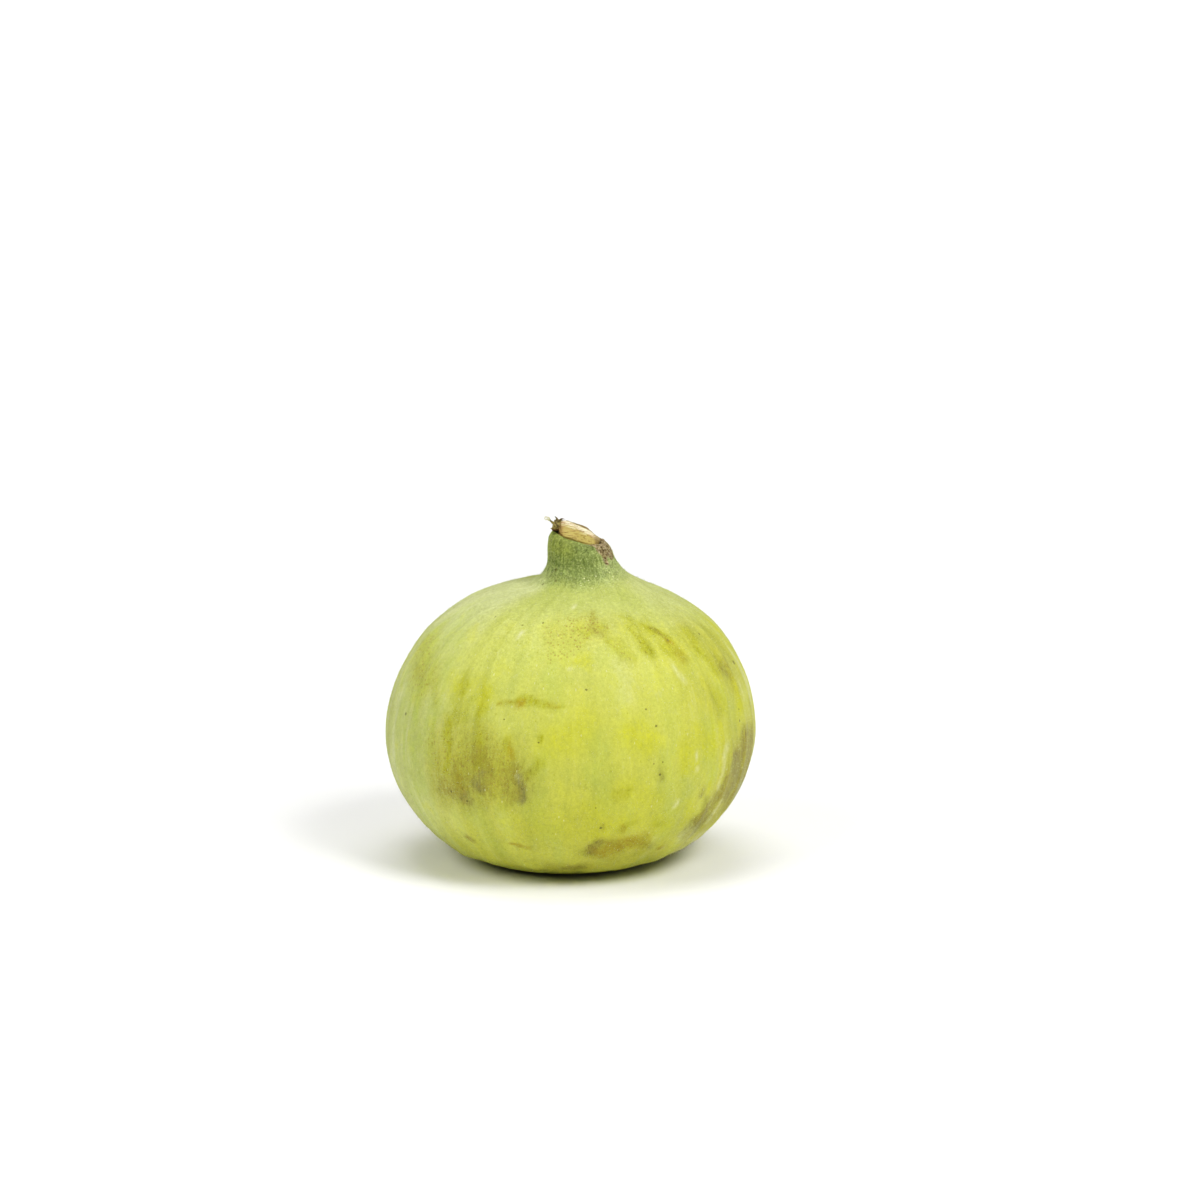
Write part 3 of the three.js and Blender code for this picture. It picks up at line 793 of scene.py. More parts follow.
# What each kind of mark is painted with: colour, strength, how much the fibres streak it. The first lies
# undermost.
MARKS = {
    "green": (GREEN_STREAK, 0.90, 0.2),
    "yellow": (BRIGHT_YELLOW, 0.85, 0.2),
    "stain": (STAIN, 1.00, 0.2),
    "olive": (OLIVE, 0.95, 0.2),
    "bruise": (BRUISE, 0.95, 1.0),
    "grey": (GREY, 0.90, 1.0),
    "ochre": (OCHRE, 1.00, 0.2),
    "pale": (PALE_SCAR, 0.90, 0.2),
}
SOILED = ("stain", "olive", "bruise")
NO_SPECK = 9.0                # radii from a speck's middle, well beyond its edge


def to_nearest_speck(finish, on_skin):
    """Distance from the middle of the nearest speck, in that speck's radii."""
    nearest = NO_SPECK
    for turn, along, radius in SPECKS:
        around = math.radians(turn - 90)
        share = float(skin.radius(np.array(along))) / BELLY_RADIUS
        middle = (math.cos(around) * share, math.sin(around) * share, along / BELLY_RADIUS)
        here = on_skin * (share, share, 1.0)
        away = finish.node("ShaderNodeVectorMath", {"operation": "DISTANCE"}, {0: here, 1: middle}, "Value")
        away = away * (BELLY_RADIUS / radius)
        nearest = finish.node("ShaderNodeMath", {"operation": "MINIMUM"}, {0: nearest, 1: away})
    return nearest


def skin_finish():
    finish = Finish(
        "fig_skin",
        Subsurface_Weight=0.08,
        Subsurface_Scale=0.0012,
        Subsurface_Radius=(1.0, 0.9, 0.25),
        Sheen_Weight=0.06,
        Sheen_Roughness=0.45,
        Sheen_Tint=(0.9, 0.95, 0.75),
        Specular_IOR_Level=0.3,
    )
    place = finish.place()
    on_skin = finish.attribute("skin_place", "Vector")
    along = finish.attribute("along")
    side = finish.axis(place, "X")
    left_limb = finish.axis(on_skin, "X").ramp(-0.60, -0.90)
    right_limb = finish.axis(on_skin, "X").ramp(0.72, 0.94)

    # streaks that run up and down the skin, from broad to fine
    bands = finish.noise(on_skin * (8.0, 8.0, 1.3) + (3.0, 1.0, 0.0), 1.0, 3.0)
    stripes = finish.noise(on_skin * (24.0, 24.0, 1.8) + (8.0, 2.0, 5.0), 1.0, 3.0, 0.6, 0.4)
    strands = finish.noise(place * (1.1, 1.1, 0.4), 1.0, 4.0, 0.65)
    fibres = finish.noise(place * (2.4, 2.4, 0.30), 1.0, 3.0, 0.6)

    # patches and spots, from broad to fine
    wide = finish.noise(on_skin * (1.7, 1.7, 1.3), 1.0)
    dapple = finish.noise(place * (1.0, 1.0, 0.7), 0.34, 3.0, 0.55, 0.5)
    mottle = finish.noise(place * (1.0, 1.0, 0.75), 1.9, 5.0, 0.75)
    fleck = finish.noise(place * (1.0, 1.0, 0.55) + (4.0, 9.0, 2.0), 2.6, 3.0, 0.8)
    grain = finish.noise(place, 5.0, 3.0, 0.75)

    # ground colours
    ripe = side.ramp(-18, 4) * along.ramp(64, 48) * 0.65 + wide.swing * 0.8
    ripe = (ripe + bands.swing * 1.1 + dapple.swing * 0.9).clamped()
    finish.colour = finish.mix(ripe, LIME, YELLOW)
    # paler low on the fruit: partly its own colour, partly painted bounce light from the floor
    finish.paint(along.ramp(36, 27) * 0.7 * (0.5 + wide), LOW_SKIN_AND_BOUNCE_LIGHT)
    bloom = side.ramp(-13, -25) * 0.60 + along.ramp(54, 68) * 0.22
    bloom = bloom + side.ramp(20, 27) * along.ramp(48, 58) * 0.3
    bloom = (bloom * (0.45 + bands * 1.1) + dapple.swing * 0.5 + bands.swing * 0.4).clamped()
    finish.paint(bloom, BLOOM)
    shoulder = (along + dapple.swing * 4).ramp(57, 70) * (0.85 - left_limb * 0.65 - right_limb * 0.45)
    finish.paint(shoulder, SHOULDER)
    # paler at the limbs: partly the skin's bloom, partly painted sheen where the skin turns away edge-on
    limb_bloom_and_sheen = left_limb * along.ramp(50, 61) * 0.70 + right_limb * along.ramp(54, 64) * 0.35
    finish.paint(limb_bloom_and_sheen * (0.6 + bands * 0.8), BLOOM)
    # painted bounce light: a pale band low on the right limb, where the white floor would light it
    bounce_light_band = (along + dapple.swing * 8).ramp(27, 21) * (along + bands.swing * 8).ramp(12, 16.5)
    finish.paint(right_limb * bounce_light_band * (0.55 + dapple.ramp(0.38, 0.58) * 0.45), LOW_RIM_BOUNCE_LIGHT)
    # painted shade: the lower left side darkened, away from the key light
    finish.paint(side.ramp(-17, -25) * along.ramp(52, 42) * 0.55, LEFT_LOW_SHADE)

    # streaks along the fibres
    streak = bands.ramp(0.50, 0.68) * 0.30 * along.ramp(70, 60) + strands.ramp(0.52, 0.68) * 0.15
    finish.paint(streak, GREEN_STREAK)
    finish.paint(strands.ramp(0.46, 0.32) * 0.15, BLOOM)
    finish.paint(dapple.ramp(0.54, 0.70) * 0.32 * along.ramp(66, 58), BRIGHT_YELLOW)
    patchy = dapple.ramp(0.36, 0.62)
    striped = stripes.ramp(0.50, 0.64) * along.ramp(64, 56) * patchy
    finish.paint(striped * side.ramp(-14, -21) * 0.6, GREEN_STREAK)
    finish.paint(striped * side.ramp(15, 21) * 0.7, BRIGHT_YELLOW)
    pale_stripes = side.ramp(-14, -20) * 0.35 + side.ramp(14, 20) * along.ramp(42, 50) * 0.35
    finish.paint(stripes.ramp(0.47, 0.36) * pale_stripes * patchy, BLOOM)

    # marks, broken up by the grain of the skin
    broken = 0.88 + mottle.swing * 1.7 + fleck.swing * 1.5 + fibres.swing
    soiled = 0.0
    for kind, (tone, strength, streaky) in MARKS.items():
        mask = finish.attribute(kind)
        finish.paint((mask * (broken + fibres.swing * streaky) * strength).clamped(), tone)
        if kind in SOILED:
            soiled = mask + soiled
    soiled = soiled.clamped()
    finish.paint(soiled * fleck.ramp(0.56, 0.70) * 0.55, BRUISE_DARK)
    haze = finish.attribute("haze")
    finish.paint(haze * 0.25, BRIGHT_YELLOW)
    freckles, chance = finish.cells(place * (1.0, 1.0, 0.8) + (5.0, 5.0, 0.0), 2.1)
    finish.paint(freckles.ramp(0.46, 0.16) * chance.ramp(0.25, 0.40) * haze * 0.70, HAZE)

    # pale pores and fine olive dots
    pores, chance = finish.cells(on_skin * (44.0, 44.0, 20.0), 0.8)
    finish.paint(pores.ramp(0.17, 0.05) * chance.ramp(0.78, 0.80) * 0.6, PALE_SCAR)
    dots, chance = finish.cells(on_skin * (70.0, 70.0, 34.0) + (2.0, 0.0, 5.0), 1.0)
    finish.paint(dots.ramp(0.32, 0.10) * chance.ramp(0.80, 0.84) * 0.45, OLIVE)

    # neck, frosted at its sides, with pale dots on its right foot
    foot = dapple.swing * 2.2 + strands.swing * 1.6 - side.ramp(1.5, -2.0) * 0.6
    neck = (along + foot).ramp(69.5, 74.0)
    frost = side.ramp(2.0, 6.5) * 0.65 + side.ramp(-2.4, -4.2) * 0.75 + strands.swing * 1.2
    frost = frost + fleck.ramp(0.50, 0.66) * 0.35 + grain.swing * 2.2 - 0.06
    neck_colour = finish.mix(frost.clamped(), NECK, NECK_BLOOM)
    neck_colour = finish.mix(along.ramp(75.5, 77.4) * side.ramp(2.0, -1.0) * 0.6, neck_colour, NECK_TOP)
    neck_colour = finish.mix(grain.ramp(0.62, 0.75) * 0.5, neck_colour, PALE_SCAR)
    finish.paint(neck, neck_colour)
    pale_dots, chance = finish.cells(place + (1.0, 5.0, 2.0), 1.9)
    right_foot = along.ramp(69.5, 71.5) * along.ramp(76.5, 74.5) * side.ramp(-2.0, 2.5)
    finish.paint(pale_dots.ramp(0.26, 0.12) * chance.ramp(0.66, 0.7) * right_foot * 0.9, PALE_SCAR)

    speck = (to_nearest_speck(finish, on_skin) + grain.swing * 1.5).ramp(1.5, 0.7)
    finish.paint(speck * 0.68, SPECK)

    # scab beside the tear
    flakes = finish.noise(place * (1.0, 1.0, 0.7), 3.4, 4.0, 0.8)
    crust = (finish.attribute("crust") * (0.35 + flakes * 1.7)).ramp(0.35, 0.85)
    crust_colour = finish.mix(flakes.ramp(0.50, 0.40), CRUST, CRUST_DARK)
    crust_colour = finish.mix(flakes.ramp(0.55, 0.62), crust_colour, CRUST_PALE)
    finish.paint(crust, crust_colour)

    rough_skin = 0.94 + along.ramp(50, 62) * 0.60 + neck * 1.1 + soiled * 0.5
    shade = mottle.swing * 0.60 + grain.swing * 0.50 + fleck.swing * neck * 0.5
    shade = 0.995 + shade * rough_skin + dapple.swing * 0.25 + bands.swing * 0.30
    # painted shade: the skin darkened towards the torn rim, giving a dark edge under the wood
    shade = shade - along.ramp(76.8, 78.4) * 0.14
    finish.dim(shade)
    roughness = 0.50 + grain.swing * 0.2 + bloom * 0.10 + neck * 0.15 + crust * 0.2
    pits = finish.bump(grain + fleck * 0.6, 0.09, 0.6)
    return finish.done(roughness, finish.bump(strands + mottle * 0.6, 0.12, 0.5, pits))


def hair_finish():
    finish = Finish("fig_fuzz", Roughness=0.7, Specular_IOR_Level=0.3)
    tone = finish.noise(finish.place(), 0.8)
    finish.set("Base Color", finish.mix(tone.ramp(0.3, 0.7), HAIR_GREEN, HAIR_PALE))
    return finish.material


# --- Dry wood in the stalk's torn end

# Left x, left z, right x, right z, as on the skin.
WOOD = (
    (1.2, 47.05, 1.2, 47.05),             # root, in the hollow
    (-1.3, 48.1, 3.65, 46.35),
    (-1.5, 48.7, 3.85, 46.85),
    (-1.55, 49.55, 4.0, 47.3),
    (-1.5, 49.85, 3.95, 47.55),           # edge of the torn face
    (-1.1, 50.05, 3.6, 47.85),
    (0.1, 49.55, 2.5, 48.45),
    (1.3, 49.0, 1.3, 49.0),               # middle of the torn face
)
WOOD_LEAN = 0.15                          # how much higher the back of the face is, for each millimetre
WOOD_ROWS = 60
WOOD_COLUMNS = 160


def wood_mesh():
    rows = np.linspace(0, len(WOOD) - 1, WOOD_ROWS + 2)[1:-1]
    station, angle = np.meshgrid(rows, whole_turn(WOOD_COLUMNS), indexing="ij")
    low = through([row[0:2] for row in WOOD], station)
    high = through([row[2:4] for row in WOOD], station)
    share = (1 + np.cos(angle)) / 2
    radius = (high[..., 0] - low[..., 0]) / 2
    face = smooth(station, 2, 4)
    ragged = 1 + face * (0.035 * np.sin(3 * angle + 1) + 0.025 * np.sin(7 * angle))
    deep = radius * np.sin(angle) * DEPTH_SHARE
    x = (high[..., 0] + low[..., 0]) / 2 + radius * np.cos(angle) * ragged
    z = low[..., 1] * (1 - share) + high[..., 1] * share + face * WOOD_LEAN * deep
    rings = np.stack([x, deep * ragged, z], -1)
    mesh = closed_grid("stalk_wood", rings, (WOOD[0][0], 0, WOOD[0][1]), (WOOD[-1][0], 0, WOOD[-1][1]))
    store(mesh, "torn", with_ends(0, face.ravel(), 1))
    return mesh


def torn_wood(material):
    """Wood split along its grain, which runs down the slope of the tear."""
    tree = Growth(
        "torn wood",
        material,
        Split_depth=0.34,
        Fibre_depth=0.13,
        Front_slope=0.38,
        Swelling=0.26,
        Corner_drop=0.50,
        Seed=2.0,
    )
    shift = tree["Seed"] * (1.0, 1.0, 1.0)
    splits = tree.noise(tree.spot * (0.35, 1.5, 0.5) + shift, 1.0, 1.0).swing
    fibres = tree.noise(tree.spot * (0.7, 5.5, 3.0) + shift, 1.0, 3.0, 0.65).swing
    deep = tree.axis(tree.spot, "Y")
    corner = tree.axis(tree.spot, "X").ramp(0.9, -1.3) * deep.ramp(0.2, -1.4)
    slope = deep.ramp(-0.2, -2.3) * tree["Front slope"] + corner * tree["Corner drop"]
    rise = (splits * tree["Split depth"] * 2 + fibres * tree["Fibre depth"] * 2 - slope) * tree.kept("torn")
    lift = tree.node("ShaderNodeCombineXYZ", {}, {2: rise})
    side = tree.outward * (fibres * tree["Fibre depth"]) + tree.outward * (1, 1, 0) * tree["Swelling"]
    return tree.grow(object_of(wood_mesh()), tree.moved(tree.geometry, lift + side))


def wood_finish():
    finish = Finish("torn_wood", Specular_IOR_Level=0.35)
    place = finish.place()
    side = finish.axis(place, "X")
    deep = finish.axis(place, "Y")
    fibres = finish.noise(place * (0.8, 8.0, 5.0), 1.0, 3.0, 0.6)
    streaks = finish.noise(place * (0.5, 3.0, 2.0) + (4.0, 0.0, 1.0), 1.0)
    # cream at the back of the face, gold towards the front: partly the wood's own tones, partly painted
    # highlight on the upper side and painted shade on the lower front
    front_tone_and_shade = (deep + streaks.swing * 2.6).ramp(0.3, -0.7)
    finish.colour = finish.mix(front_tone_and_shade, WOOD_CREAM_AND_HIGHLIGHT, WOOD_GOLD_AND_SHADE)
    finish.paint(streaks.ramp(0.52, 0.7) * 0.6, WOOD_GOLD_AND_SHADE)
    lines = finish.noise(place * (0.35, 2.6, 2.4) + (7.0, 2.0, 0.0), 1.0, 3.0, 0.7)
    finish.paint(lines.ramp(0.50, 0.60) * deep.ramp(-1.4, -0.4) * 0.75, WOOD_LINE)
    # cream between the lines, partly painted highlight
    finish.paint(lines.ramp(0.46, 0.38) * deep.ramp(-1.4, -0.4) * 0.6, WOOD_CREAM_AND_HIGHLIGHT)
    flecks = finish.noise(place * (0.9, 4.5, 5.0) + (3.0, 3.0, 3.0), 1.0, 3.0, 0.6)
    finish.paint(flecks.ramp(0.56, 0.64) * 0.85, WOOD_FLECK)
    finish.paint((deep + flecks.swing * 1.5).ramp(1.0, 1.7), WOOD_BARK)
    finish.paint(side.ramp(3.2, 3.9) * 0.8, WOOD_BARK)
    # the sunken side of the wood in a pale gold: partly its own colour, partly painted light lifting the
    # shade in the gap
    finish.paint(1 - finish.attribute("torn").ramp(0.0, 0.9), WOOD_SIDE_AND_LIGHT)
    finish.paint((side + fibres.swing * 1.6).ramp(-0.7, -1.6) * 0.6, WOOD_LINE)
    return finish.done(0.62 + fibres.swing * 0.3, finish.bump(fibres, 0.08, 0.5))


# --- Withered bract on the rim

# Centre, half sizes, turn about Y in degrees.
BRACT_LUMPS = (
    ((-2.02, -0.4, 49.75), (0.54, 1.1, 0.66), 18),
    ((-1.88, 0.3, 50.08), (0.48, 1.0, 0.50), -12),
    ((-2.22, -0.75, 49.52), (0.42, 0.7, 0.48), 30),
)
# Root, bend, tip, radius at the root.
BRACT_SHREDS = (
    ((-2.2, -0.4, 50.1), (-3.1, -0.5, 50.4), (-3.2, -0.5, 50.95), 0.24),
    ((-3.15, -0.5, 50.8), (-3.3, -0.5, 51.2), (-3.75, -0.6, 51.0), 0.19),
    ((-3.2, -0.5, 50.7), (-3.6, -0.5, 50.6), (-3.8, -0.55, 50.9), 0.16),
    ((-1.8, 0.6, 50.3), (-2.0, 1.0, 50.7), (-2.3, 1.3, 50.75), 0.24),
    ((-2.3, -0.9, 49.5), (-2.7, -1.1, 49.4), (-2.85, -1.2, 49.6), 0.2),
    ((-1.7, -0.6, 50.3), (-1.3, -0.7, 50.7), (-1.0, -0.6, 50.5), 0.20),
    ((-1.6, 0.2, 50.4), (-1.1, 0.3, 50.8), (-0.7, 0.2, 50.45), 0.18),
)
SHRED_TIP = 0.3               # radius at the tip, as a share of the root's
SHRED_FLATNESS = 0.6          # thickness of a shred, as a share of its width
BRACT_VOXEL = 0.045           # size of the cubes in which lumps and shreds are melted together


def ball(centre, half, turn):
    """Low end, rings and high end of one lump, in millimetres."""
    rows, columns = 14, 20
    rises = (np.arange(rows) + 1) / (rows + 1) * math.pi
    climb, around = np.meshgrid(rises, whole_turn(columns), indexing="ij")
    rings = np.stack([np.sin(climb) * np.cos(around), np.sin(climb) * np.sin(around), -np.cos(climb)], -1)
    lean = math.radians(turn)
    turned = np.array([[math.cos(lean), 0, math.sin(lean)], [0, 1, 0], [-math.sin(lean), 0, math.cos(lean)]])
    poles = np.array([[0, 0, -1.0], [0, 0, 1.0]])
    return [(points * half) @ turned.T + centre for points in (poles[0], rings, poles[1])]


def shred(root, bend, tip, radius):
    """Root, rings and tip of a curved tapering shred, in millimetres."""
    steps, columns = 16, 10
    root, bend, tip = (np.array(point) for point in (root, bend, tip))
    share = np.linspace(0, 1, steps)[:, None]
    line = root * (1 - share) ** 2 + 2 * bend * share * (1 - share) + tip * share**2
    along = np.gradient(line, axis=0)
    along /= np.linalg.norm(along, axis=1, keepdims=True)
    across = np.cross(along, (0.0, 1.0, 0.0))
    across /= np.linalg.norm(across, axis=1, keepdims=True)
    other = np.cross(along, across)
    around = whole_turn(columns)[:, None]
    size = (radius * (1 - share * (1 - SHRED_TIP)))[:, None]
    section = np.cos(around) * across[:, None] + SHRED_FLATNESS * np.sin(around) * other[:, None]
    return line[0], line[:, None] + size * section, line[-1]


def bract_object():
    """Lumps and shreds melted into one skin, which is done in millimetres."""
    points = []
    faces = []
    for low, rings, high in [ball(*lump) for lump in BRACT_LUMPS] + [shred(*line) for line in BRACT_SHREDS]:
        part = closed_grid("part", rings / MM, low / MM, high / MM)
        start = len(points)
        points += [tuple(point.co) for point in part.vertices]
        faces += [tuple(start + corner for corner in face.vertices) for face in part.polygons]
        bpy.data.meshes.remove(part)
    whole = bpy.data.meshes.new("bract_parts")
    whole.from_pydata(points, [], faces)
    lumps = object_of(whole)
    melt = lumps.modifiers.new("melt", "REMESH")
    melt.mode = "VOXEL"
    melt.voxel_size = BRACT_VOXEL
    shown = bpy.context.evaluated_depsgraph_get()
    mesh = bpy.data.meshes.new_from_object(lumps.evaluated_get(shown))
    bpy.data.objects.remove(lumps)
    mesh.transform(Matrix.Scale(MM, 4))
    mesh.name = "withered_bract"
    return object_of(mesh)


def withered_bract(material):
    tree = Growth("shrivelled", material, Fold_depth=0.22, Crease_depth=0.09, Seed=5.0)
    shift = tree["Seed"] * (1.0, 1.0, 1.0)
    folds = tree.noise(tree.spot * (1.6, 0.8, 1.6) + shift, 1.0, 1.0).swing
    creases = tree.noise(tree.spot * (5.0, 2.5, 4.0) + shift, 1.0, 2.0, 0.6).swing
    raised = folds * tree["Fold depth"] * 2 + creases * tree["Crease depth"] * 2
    return tree.grow(bract_object(), tree.moved(tree.geometry, tree.outward * raised))


def bract_finish():
    finish = Finish("dry_bract", Specular_IOR_Level=0.3)
    place = finish.place()
    side = finish.axis(place, "X")
    height = finish.axis(place, "Z")
    blotch = finish.noise(place, 1.3, 3.0, 0.6)
    fine = finish.noise(place * (4.0, 2.0, 6.0), 1.0, 3.0, 0.6)
    tanned = blotch.ramp(0.36, 0.52) * height.ramp(50.6, 50.1, 0.25, 1.0)
    finish.colour = finish.mix(tanned, BRACT_DARK, BRACT_TAN)
    finish.paint(fine.ramp(0.56, 0.7) * 0.7, BRACT_DARK)
    # the bract's foot by the rim dark red-brown: partly its own colour, partly painted shade of the gap
    finish.paint(height.ramp(49.6, 49.2) * 0.8, BRACT_RED_AND_SHADE)
    finish.paint(side.ramp(-2.75, -3.1) * height.ramp(50.1, 50.5), BRACT_PALE)
    return finish.done(0.75 + fine.swing * 0.3, finish.bump(fine, 0.06, 0.6))


# --- Scales of the eye

# Scales in the ring, distance of the root from the axis, height of the root, length, width, tilt in degrees.
EYE_RINGS = (
    (10, 3.35, 1.62, 2.3, 1.9, 10),
    (9, 2.75, 1.35, 2.15, 1.75, 15),
    (7, 2.05, 1.15, 1.95, 1.5, 20),
    (5, 1.35, 1.0, 1.55, 1.2, 26),
)
SCALE_THICKNESS = 0.16
SCALE_CROWN = 0.3
SCALE_STOUTNESS = 1.3         # how much thicker and more crowned a scale is than the blade it is made from
EYE_SEED = 31


def scale_blade():
    """A thin ovate scale, root at the origin and tip at -X, a millimetre long and wide, crowned downwards."""
    rows, columns = 9, 14
    along = (np.arange(rows) + 0.5) / rows
    half = 0.5 * np.sin(math.pi * along**0.75) ** 0.7 * (1 - 0.25 * along)
    around = whole_turn(columns)
    across = half[:, None] * np.cos(around)
    thick = 0.5 * SCALE_THICKNESS * np.sin(around)
    crown = -SCALE_CROWN * (0.25 - across**2) - 0.12 * np.sin(math.pi * along)[:, None]
    rings = np.stack([-along[:, None] * np.ones(columns), across, thick + crown], -1)[:, ::-1]
    mesh = closed_grid("scale_blade", rings, (0.0, 0.0, 0.0), (-1.04, 0.0, -0.03))
    store(mesh, "tip", with_ends(0, np.repeat(along, columns), 1))
    return mesh


def eye_rosette(material):
    """The scales in their rings, each ring lower and steeper than the one outside it."""
    draw = seeded_draw(EYE_SEED)
    roots, turns, sizes, shades = [], [], [], []
    for order, (count, distance, height, length, width, tilt) in enumerate(EYE_RINGS):
        for index in range(count):
            turn = (index + 0.5 * order + 0.3 * (next(draw) - 0.5)) / count * 2 * math.pi
            size = 0.92 + 0.16 * next(draw)
            roots.append((distance * math.cos(turn) * MM, distance * math.sin(turn) * MM, height * MM))
            turns.append((0.15 * (next(draw) - 0.5), -math.radians(tilt + 6 * (next(draw) - 0.5)), turn))
            sizes.append((length * size, width * size, SCALE_STOUTNESS))
            shades.append(next(draw))
    points = bpy.data.meshes.new("eye_rosette")
    points.from_pydata(roots, [], [])
    store(points, "turned", turns, "FLOAT_VECTOR")
    store(points, "size", sizes, "FLOAT_VECTOR")
    store(points, "shade", shades)
    blade = object_of(scale_blade())
    tree = Growth("eye rosette", material, Scale=blade, Wrinkle=0.07, Seed=4.0)
    turned = tree.kept("turned", "FLOAT_VECTOR")
    placed = {
        "Points": tree.node("GeometryNodeMeshToPoints", {}, {0: tree.geometry}),
        "Instance": tree.node("GeometryNodeObjectInfo", {}, {"Object": tree["Scale"]}, "Geometry"),
        "Rotation": tree.node("FunctionNodeEulerToRotation", {}, {0: turned}),
        "Scale": tree.kept("size", "FLOAT_VECTOR"),
    }
    rings = tree.node("GeometryNodeInstanceOnPoints", {}, placed)
    real = tree.node("GeometryNodeRealizeInstances", {}, {0: rings})
    wrinkles = tree.noise(tree.spot + tree["Seed"] * (1.0, 1.0, 1.0), 1.6).swing * tree["Wrinkle"] * 2
    lift = tree.node("ShaderNodeCombineXYZ", {}, {2: wrinkles})
    rosette = tree.grow(object_of(points), tree.moved(real, lift))
    bpy.data.objects.remove(blade)
    return rosette


def eye_finish():
    finish = Finish("eye_scales", Specular_IOR_Level=0.4, Subsurface_Weight=0.05, Subsurface_Scale=0.0006)
    place = finish.place()
    tip = finish.attribute("tip")
    shade = finish.attribute("shade")
    grain = finish.noise(place, 4.0, 3.0, 0.6)
    dried = (tip + grain.swing * 0.5 + shade * 0.3).ramp(0.3, 0.95)
    finish.colour = finish.mix(dried, EYE_GREEN, EYE_BROWN)
    finish.paint((1 - tip).ramp(0.6, 1.0) * 0.5, EYE_PINK)
    finish.paint(grain.ramp(0.6, 0.75) * 0.5, BRACT_DARK)
    return finish.done(0.6 + grain.swing * 0.3, finish.bump(grain, 0.05, 0.5))


# --- Floor, light and camera

FLOOR_HALF = 3.0              # metres
FLOOR_GLOW = (150.0, 650.0)   # millimetres from the fruit at which the glow starts and is full
WALL_SIDES = 64
WORLD_LIGHT = 0.14
LIGHTS_AIM = Vector((0, 0, 0.025))  # metres

# Name, place and side of the square in metres, watts.
LIGHTS = (
    ("key", (0.45, -0.42, 0.66), 0.38, 5.2),
    ("fill", (-0.58, -0.36, 0.54), 0.50, 3.5),
    ("side", (0.70, -0.10, 0.14), 0.30, 0.5),
    ("top", (-0.03, 0.09, 0.90), 0.60, 4.3),
)


def floor():
    """A white floor that glows away from the fruit, so that it stays white in every view."""
    finish = Finish("pale_floor", Roughness=0.9, Specular_IOR_Level=0.1, Emission_Strength=1.0)
    finish.set("Base Color", WHITE_FLOOR)
    from_fruit = finish.node("ShaderNodeVectorMath", {"operation": "LENGTH"}, {0: finish.place()}, "Value")
    finish.set("Emission Color", finish.mix(from_fruit.ramp(*FLOOR_GLOW), BLACK, WHITE_FLOOR))
    corners = [(x * FLOOR_HALF, y * FLOOR_HALF, 0) for x, y in ((-1, -1), (1, -1), (1, 1), (-1, 1))]
    mesh = bpy.data.meshes.new("floor")
    mesh.from_pydata(corners, [], [(0, 1, 2, 3)])
    object_of(mesh, finish.material)


def backdrop():
    """White walls round the floor that only the camera sees."""
    finish = Finish("white_wall", Emission_Strength=1.0)
    finish.set("Emission Color", (1.0, 1.0, 1.0))
    finish.set("Base Color", BLACK)
    around = whole_turn(WALL_SIDES)
    low = np.stack([np.cos(around), np.sin(around), np.zeros(WALL_SIDES)], -1) * FLOOR_HALF
    points = np.concatenate([low, low + (0, 0, 2 * FLOOR_HALF)])
    corners = zip(range(WALL_SIDES), np.roll(range(WALL_SIDES), -1).tolist())
    mesh = bpy.data.meshes.new("backdrop")
    mesh.from_pydata(points.tolist(), [], [(a, b, WALL_SIDES + b, WALL_SIDES + a) for a, b in corners])
    made = object_of(mesh, finish.material)
    for rays in ("diffuse", "glossy", "transmission", "shadow"):
        setattr(made, "visible_" + rays, False)


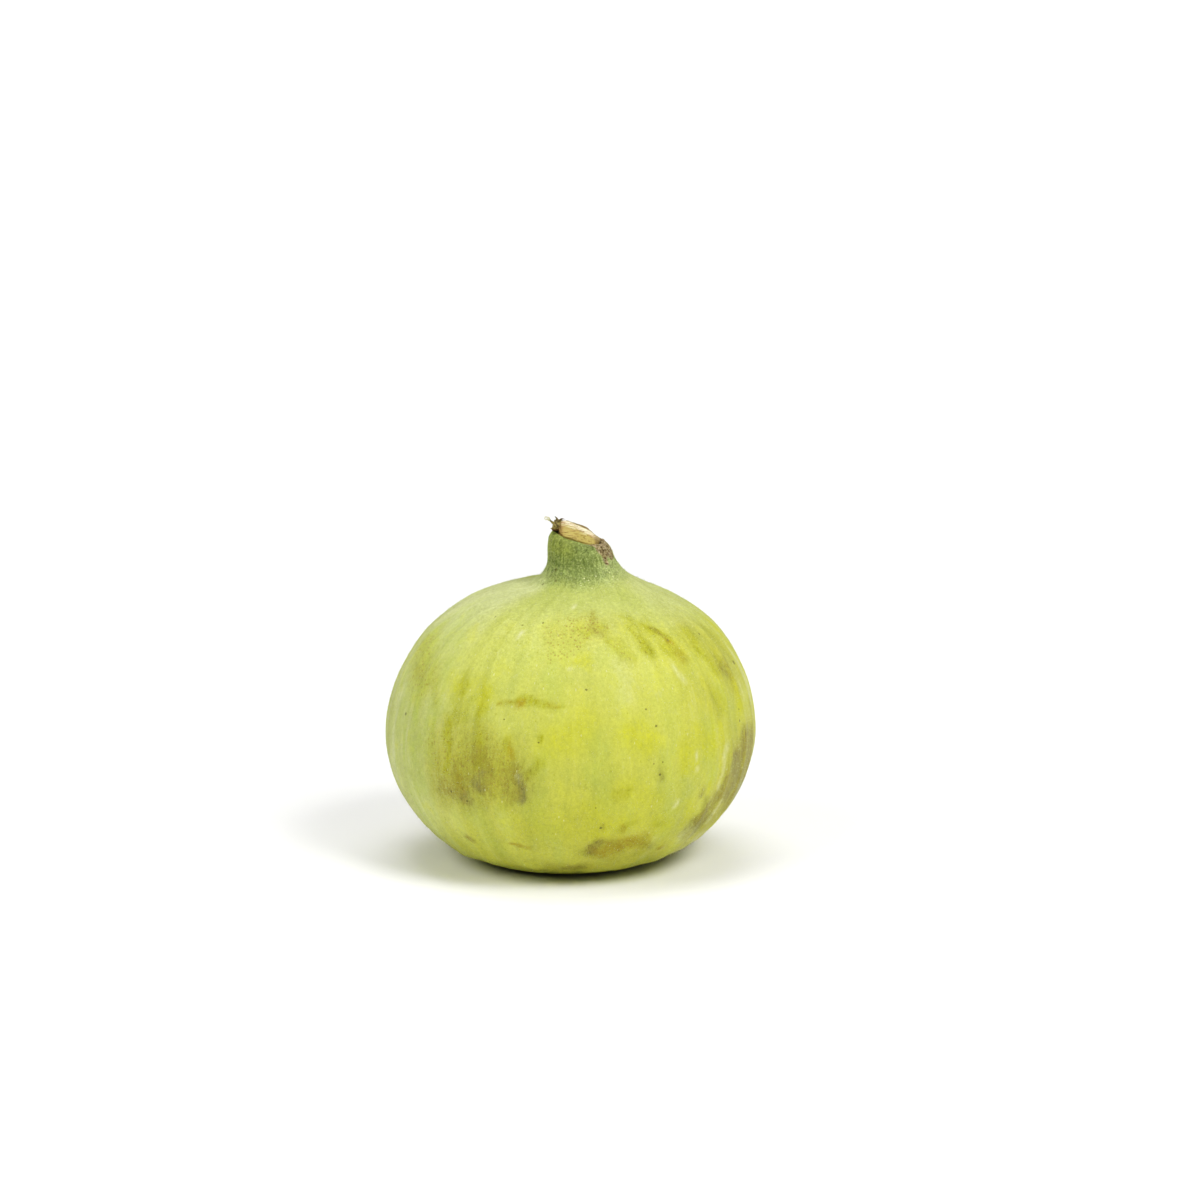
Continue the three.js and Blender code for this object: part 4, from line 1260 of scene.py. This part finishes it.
def studio():
    """A dim white surrounding, and soft lights that all face the fruit."""
    world = bpy.data.worlds.new("studio")
    world.use_nodes = True
    surrounding = world.node_tree.nodes["Background"]
    surrounding.inputs["Color"].default_value = (1.0, 1.0, 1.0, 1.0)
    surrounding.inputs["Strength"].default_value = WORLD_LIGHT
    bpy.context.scene.world = world
    for name, place, size, power in LIGHTS:
        lamp = bpy.data.lights.new(name, "AREA")
        lamp.shape = "SQUARE"
        lamp.size = size
        lamp.energy = power
        made = in_scene(name, lamp)
        made.location = place
        made.rotation_euler = (LIGHTS_AIM - Vector(place)).to_track_quat("-Z", "Y").to_euler()


# Where the fig stands in the camera's square frame of FRAME_PIXELS a side.
FRAME_PIXELS = 1200
FIG_PIXEL = (569.5, 710.0)
FIG_AIM = Vector((0.0, 0.0, 22.0))
VIEW_DROP = 14.0              # degrees that the camera looks down
VIEW_DISTANCE = 900.0
FOCAL_PIXELS = 6141.0
SENSOR = 36.0
CLIP_START = 0.05             # metres


def camera():
    lens = bpy.data.cameras.new("camera")
    lens.sensor_width = SENSOR
    lens.lens = FOCAL_PIXELS / FRAME_PIXELS * SENSOR
    lens.clip_start = CLIP_START
    made = in_scene("camera", lens)
    drop = math.radians(VIEW_DROP)
    made.location = (FIG_AIM + VIEW_DISTANCE * Vector((0, -math.cos(drop), math.sin(drop)))) * MM
    yaw = math.atan((FRAME_PIXELS / 2 - FIG_PIXEL[0]) / FOCAL_PIXELS)
    pitch = -drop + math.atan((FIG_PIXEL[1] - FRAME_PIXELS / 2) / FOCAL_PIXELS)
    made.rotation_euler = (math.pi / 2 + pitch, 0, -yaw)
    bpy.context.scene.camera = made


# Brightness in, brightness out: a little more contrast in the shades.
TONE_CURVE = ((0.05, 0.018), (0.12, 0.07), (0.30, 0.27), (0.60, 0.62))
ALL_CHANNELS = 3              # the curve that acts on red, green and blue alike


def colour_management():
    view = bpy.context.scene.view_settings
    view.view_transform = "Standard"
    view.look = "None"
    view.use_curve_mapping = True
    for point in TONE_CURVE:
        view.curve_mapping.curves[ALL_CHANNELS].points.new(*point)
    view.curve_mapping.update()


# --- The scene

floor()
backdrop()
studio()
camera()
colour_management()

fruit = relieved_skin(fruit_mesh(), skin_finish())
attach(fruit, BODY)
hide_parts("fig_body")

wood = torn_wood(wood_finish())
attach(wood, BODY)
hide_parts("stalk_core")

bract = withered_bract(bract_finish())
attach(bract, BODY)
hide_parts("stalk_bract")

eye = eye_rosette(eye_finish())
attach(eye, BODY)
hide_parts("eye_scales")

hairs = fuzz(fruit, hair_finish())
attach(hairs, BODY)
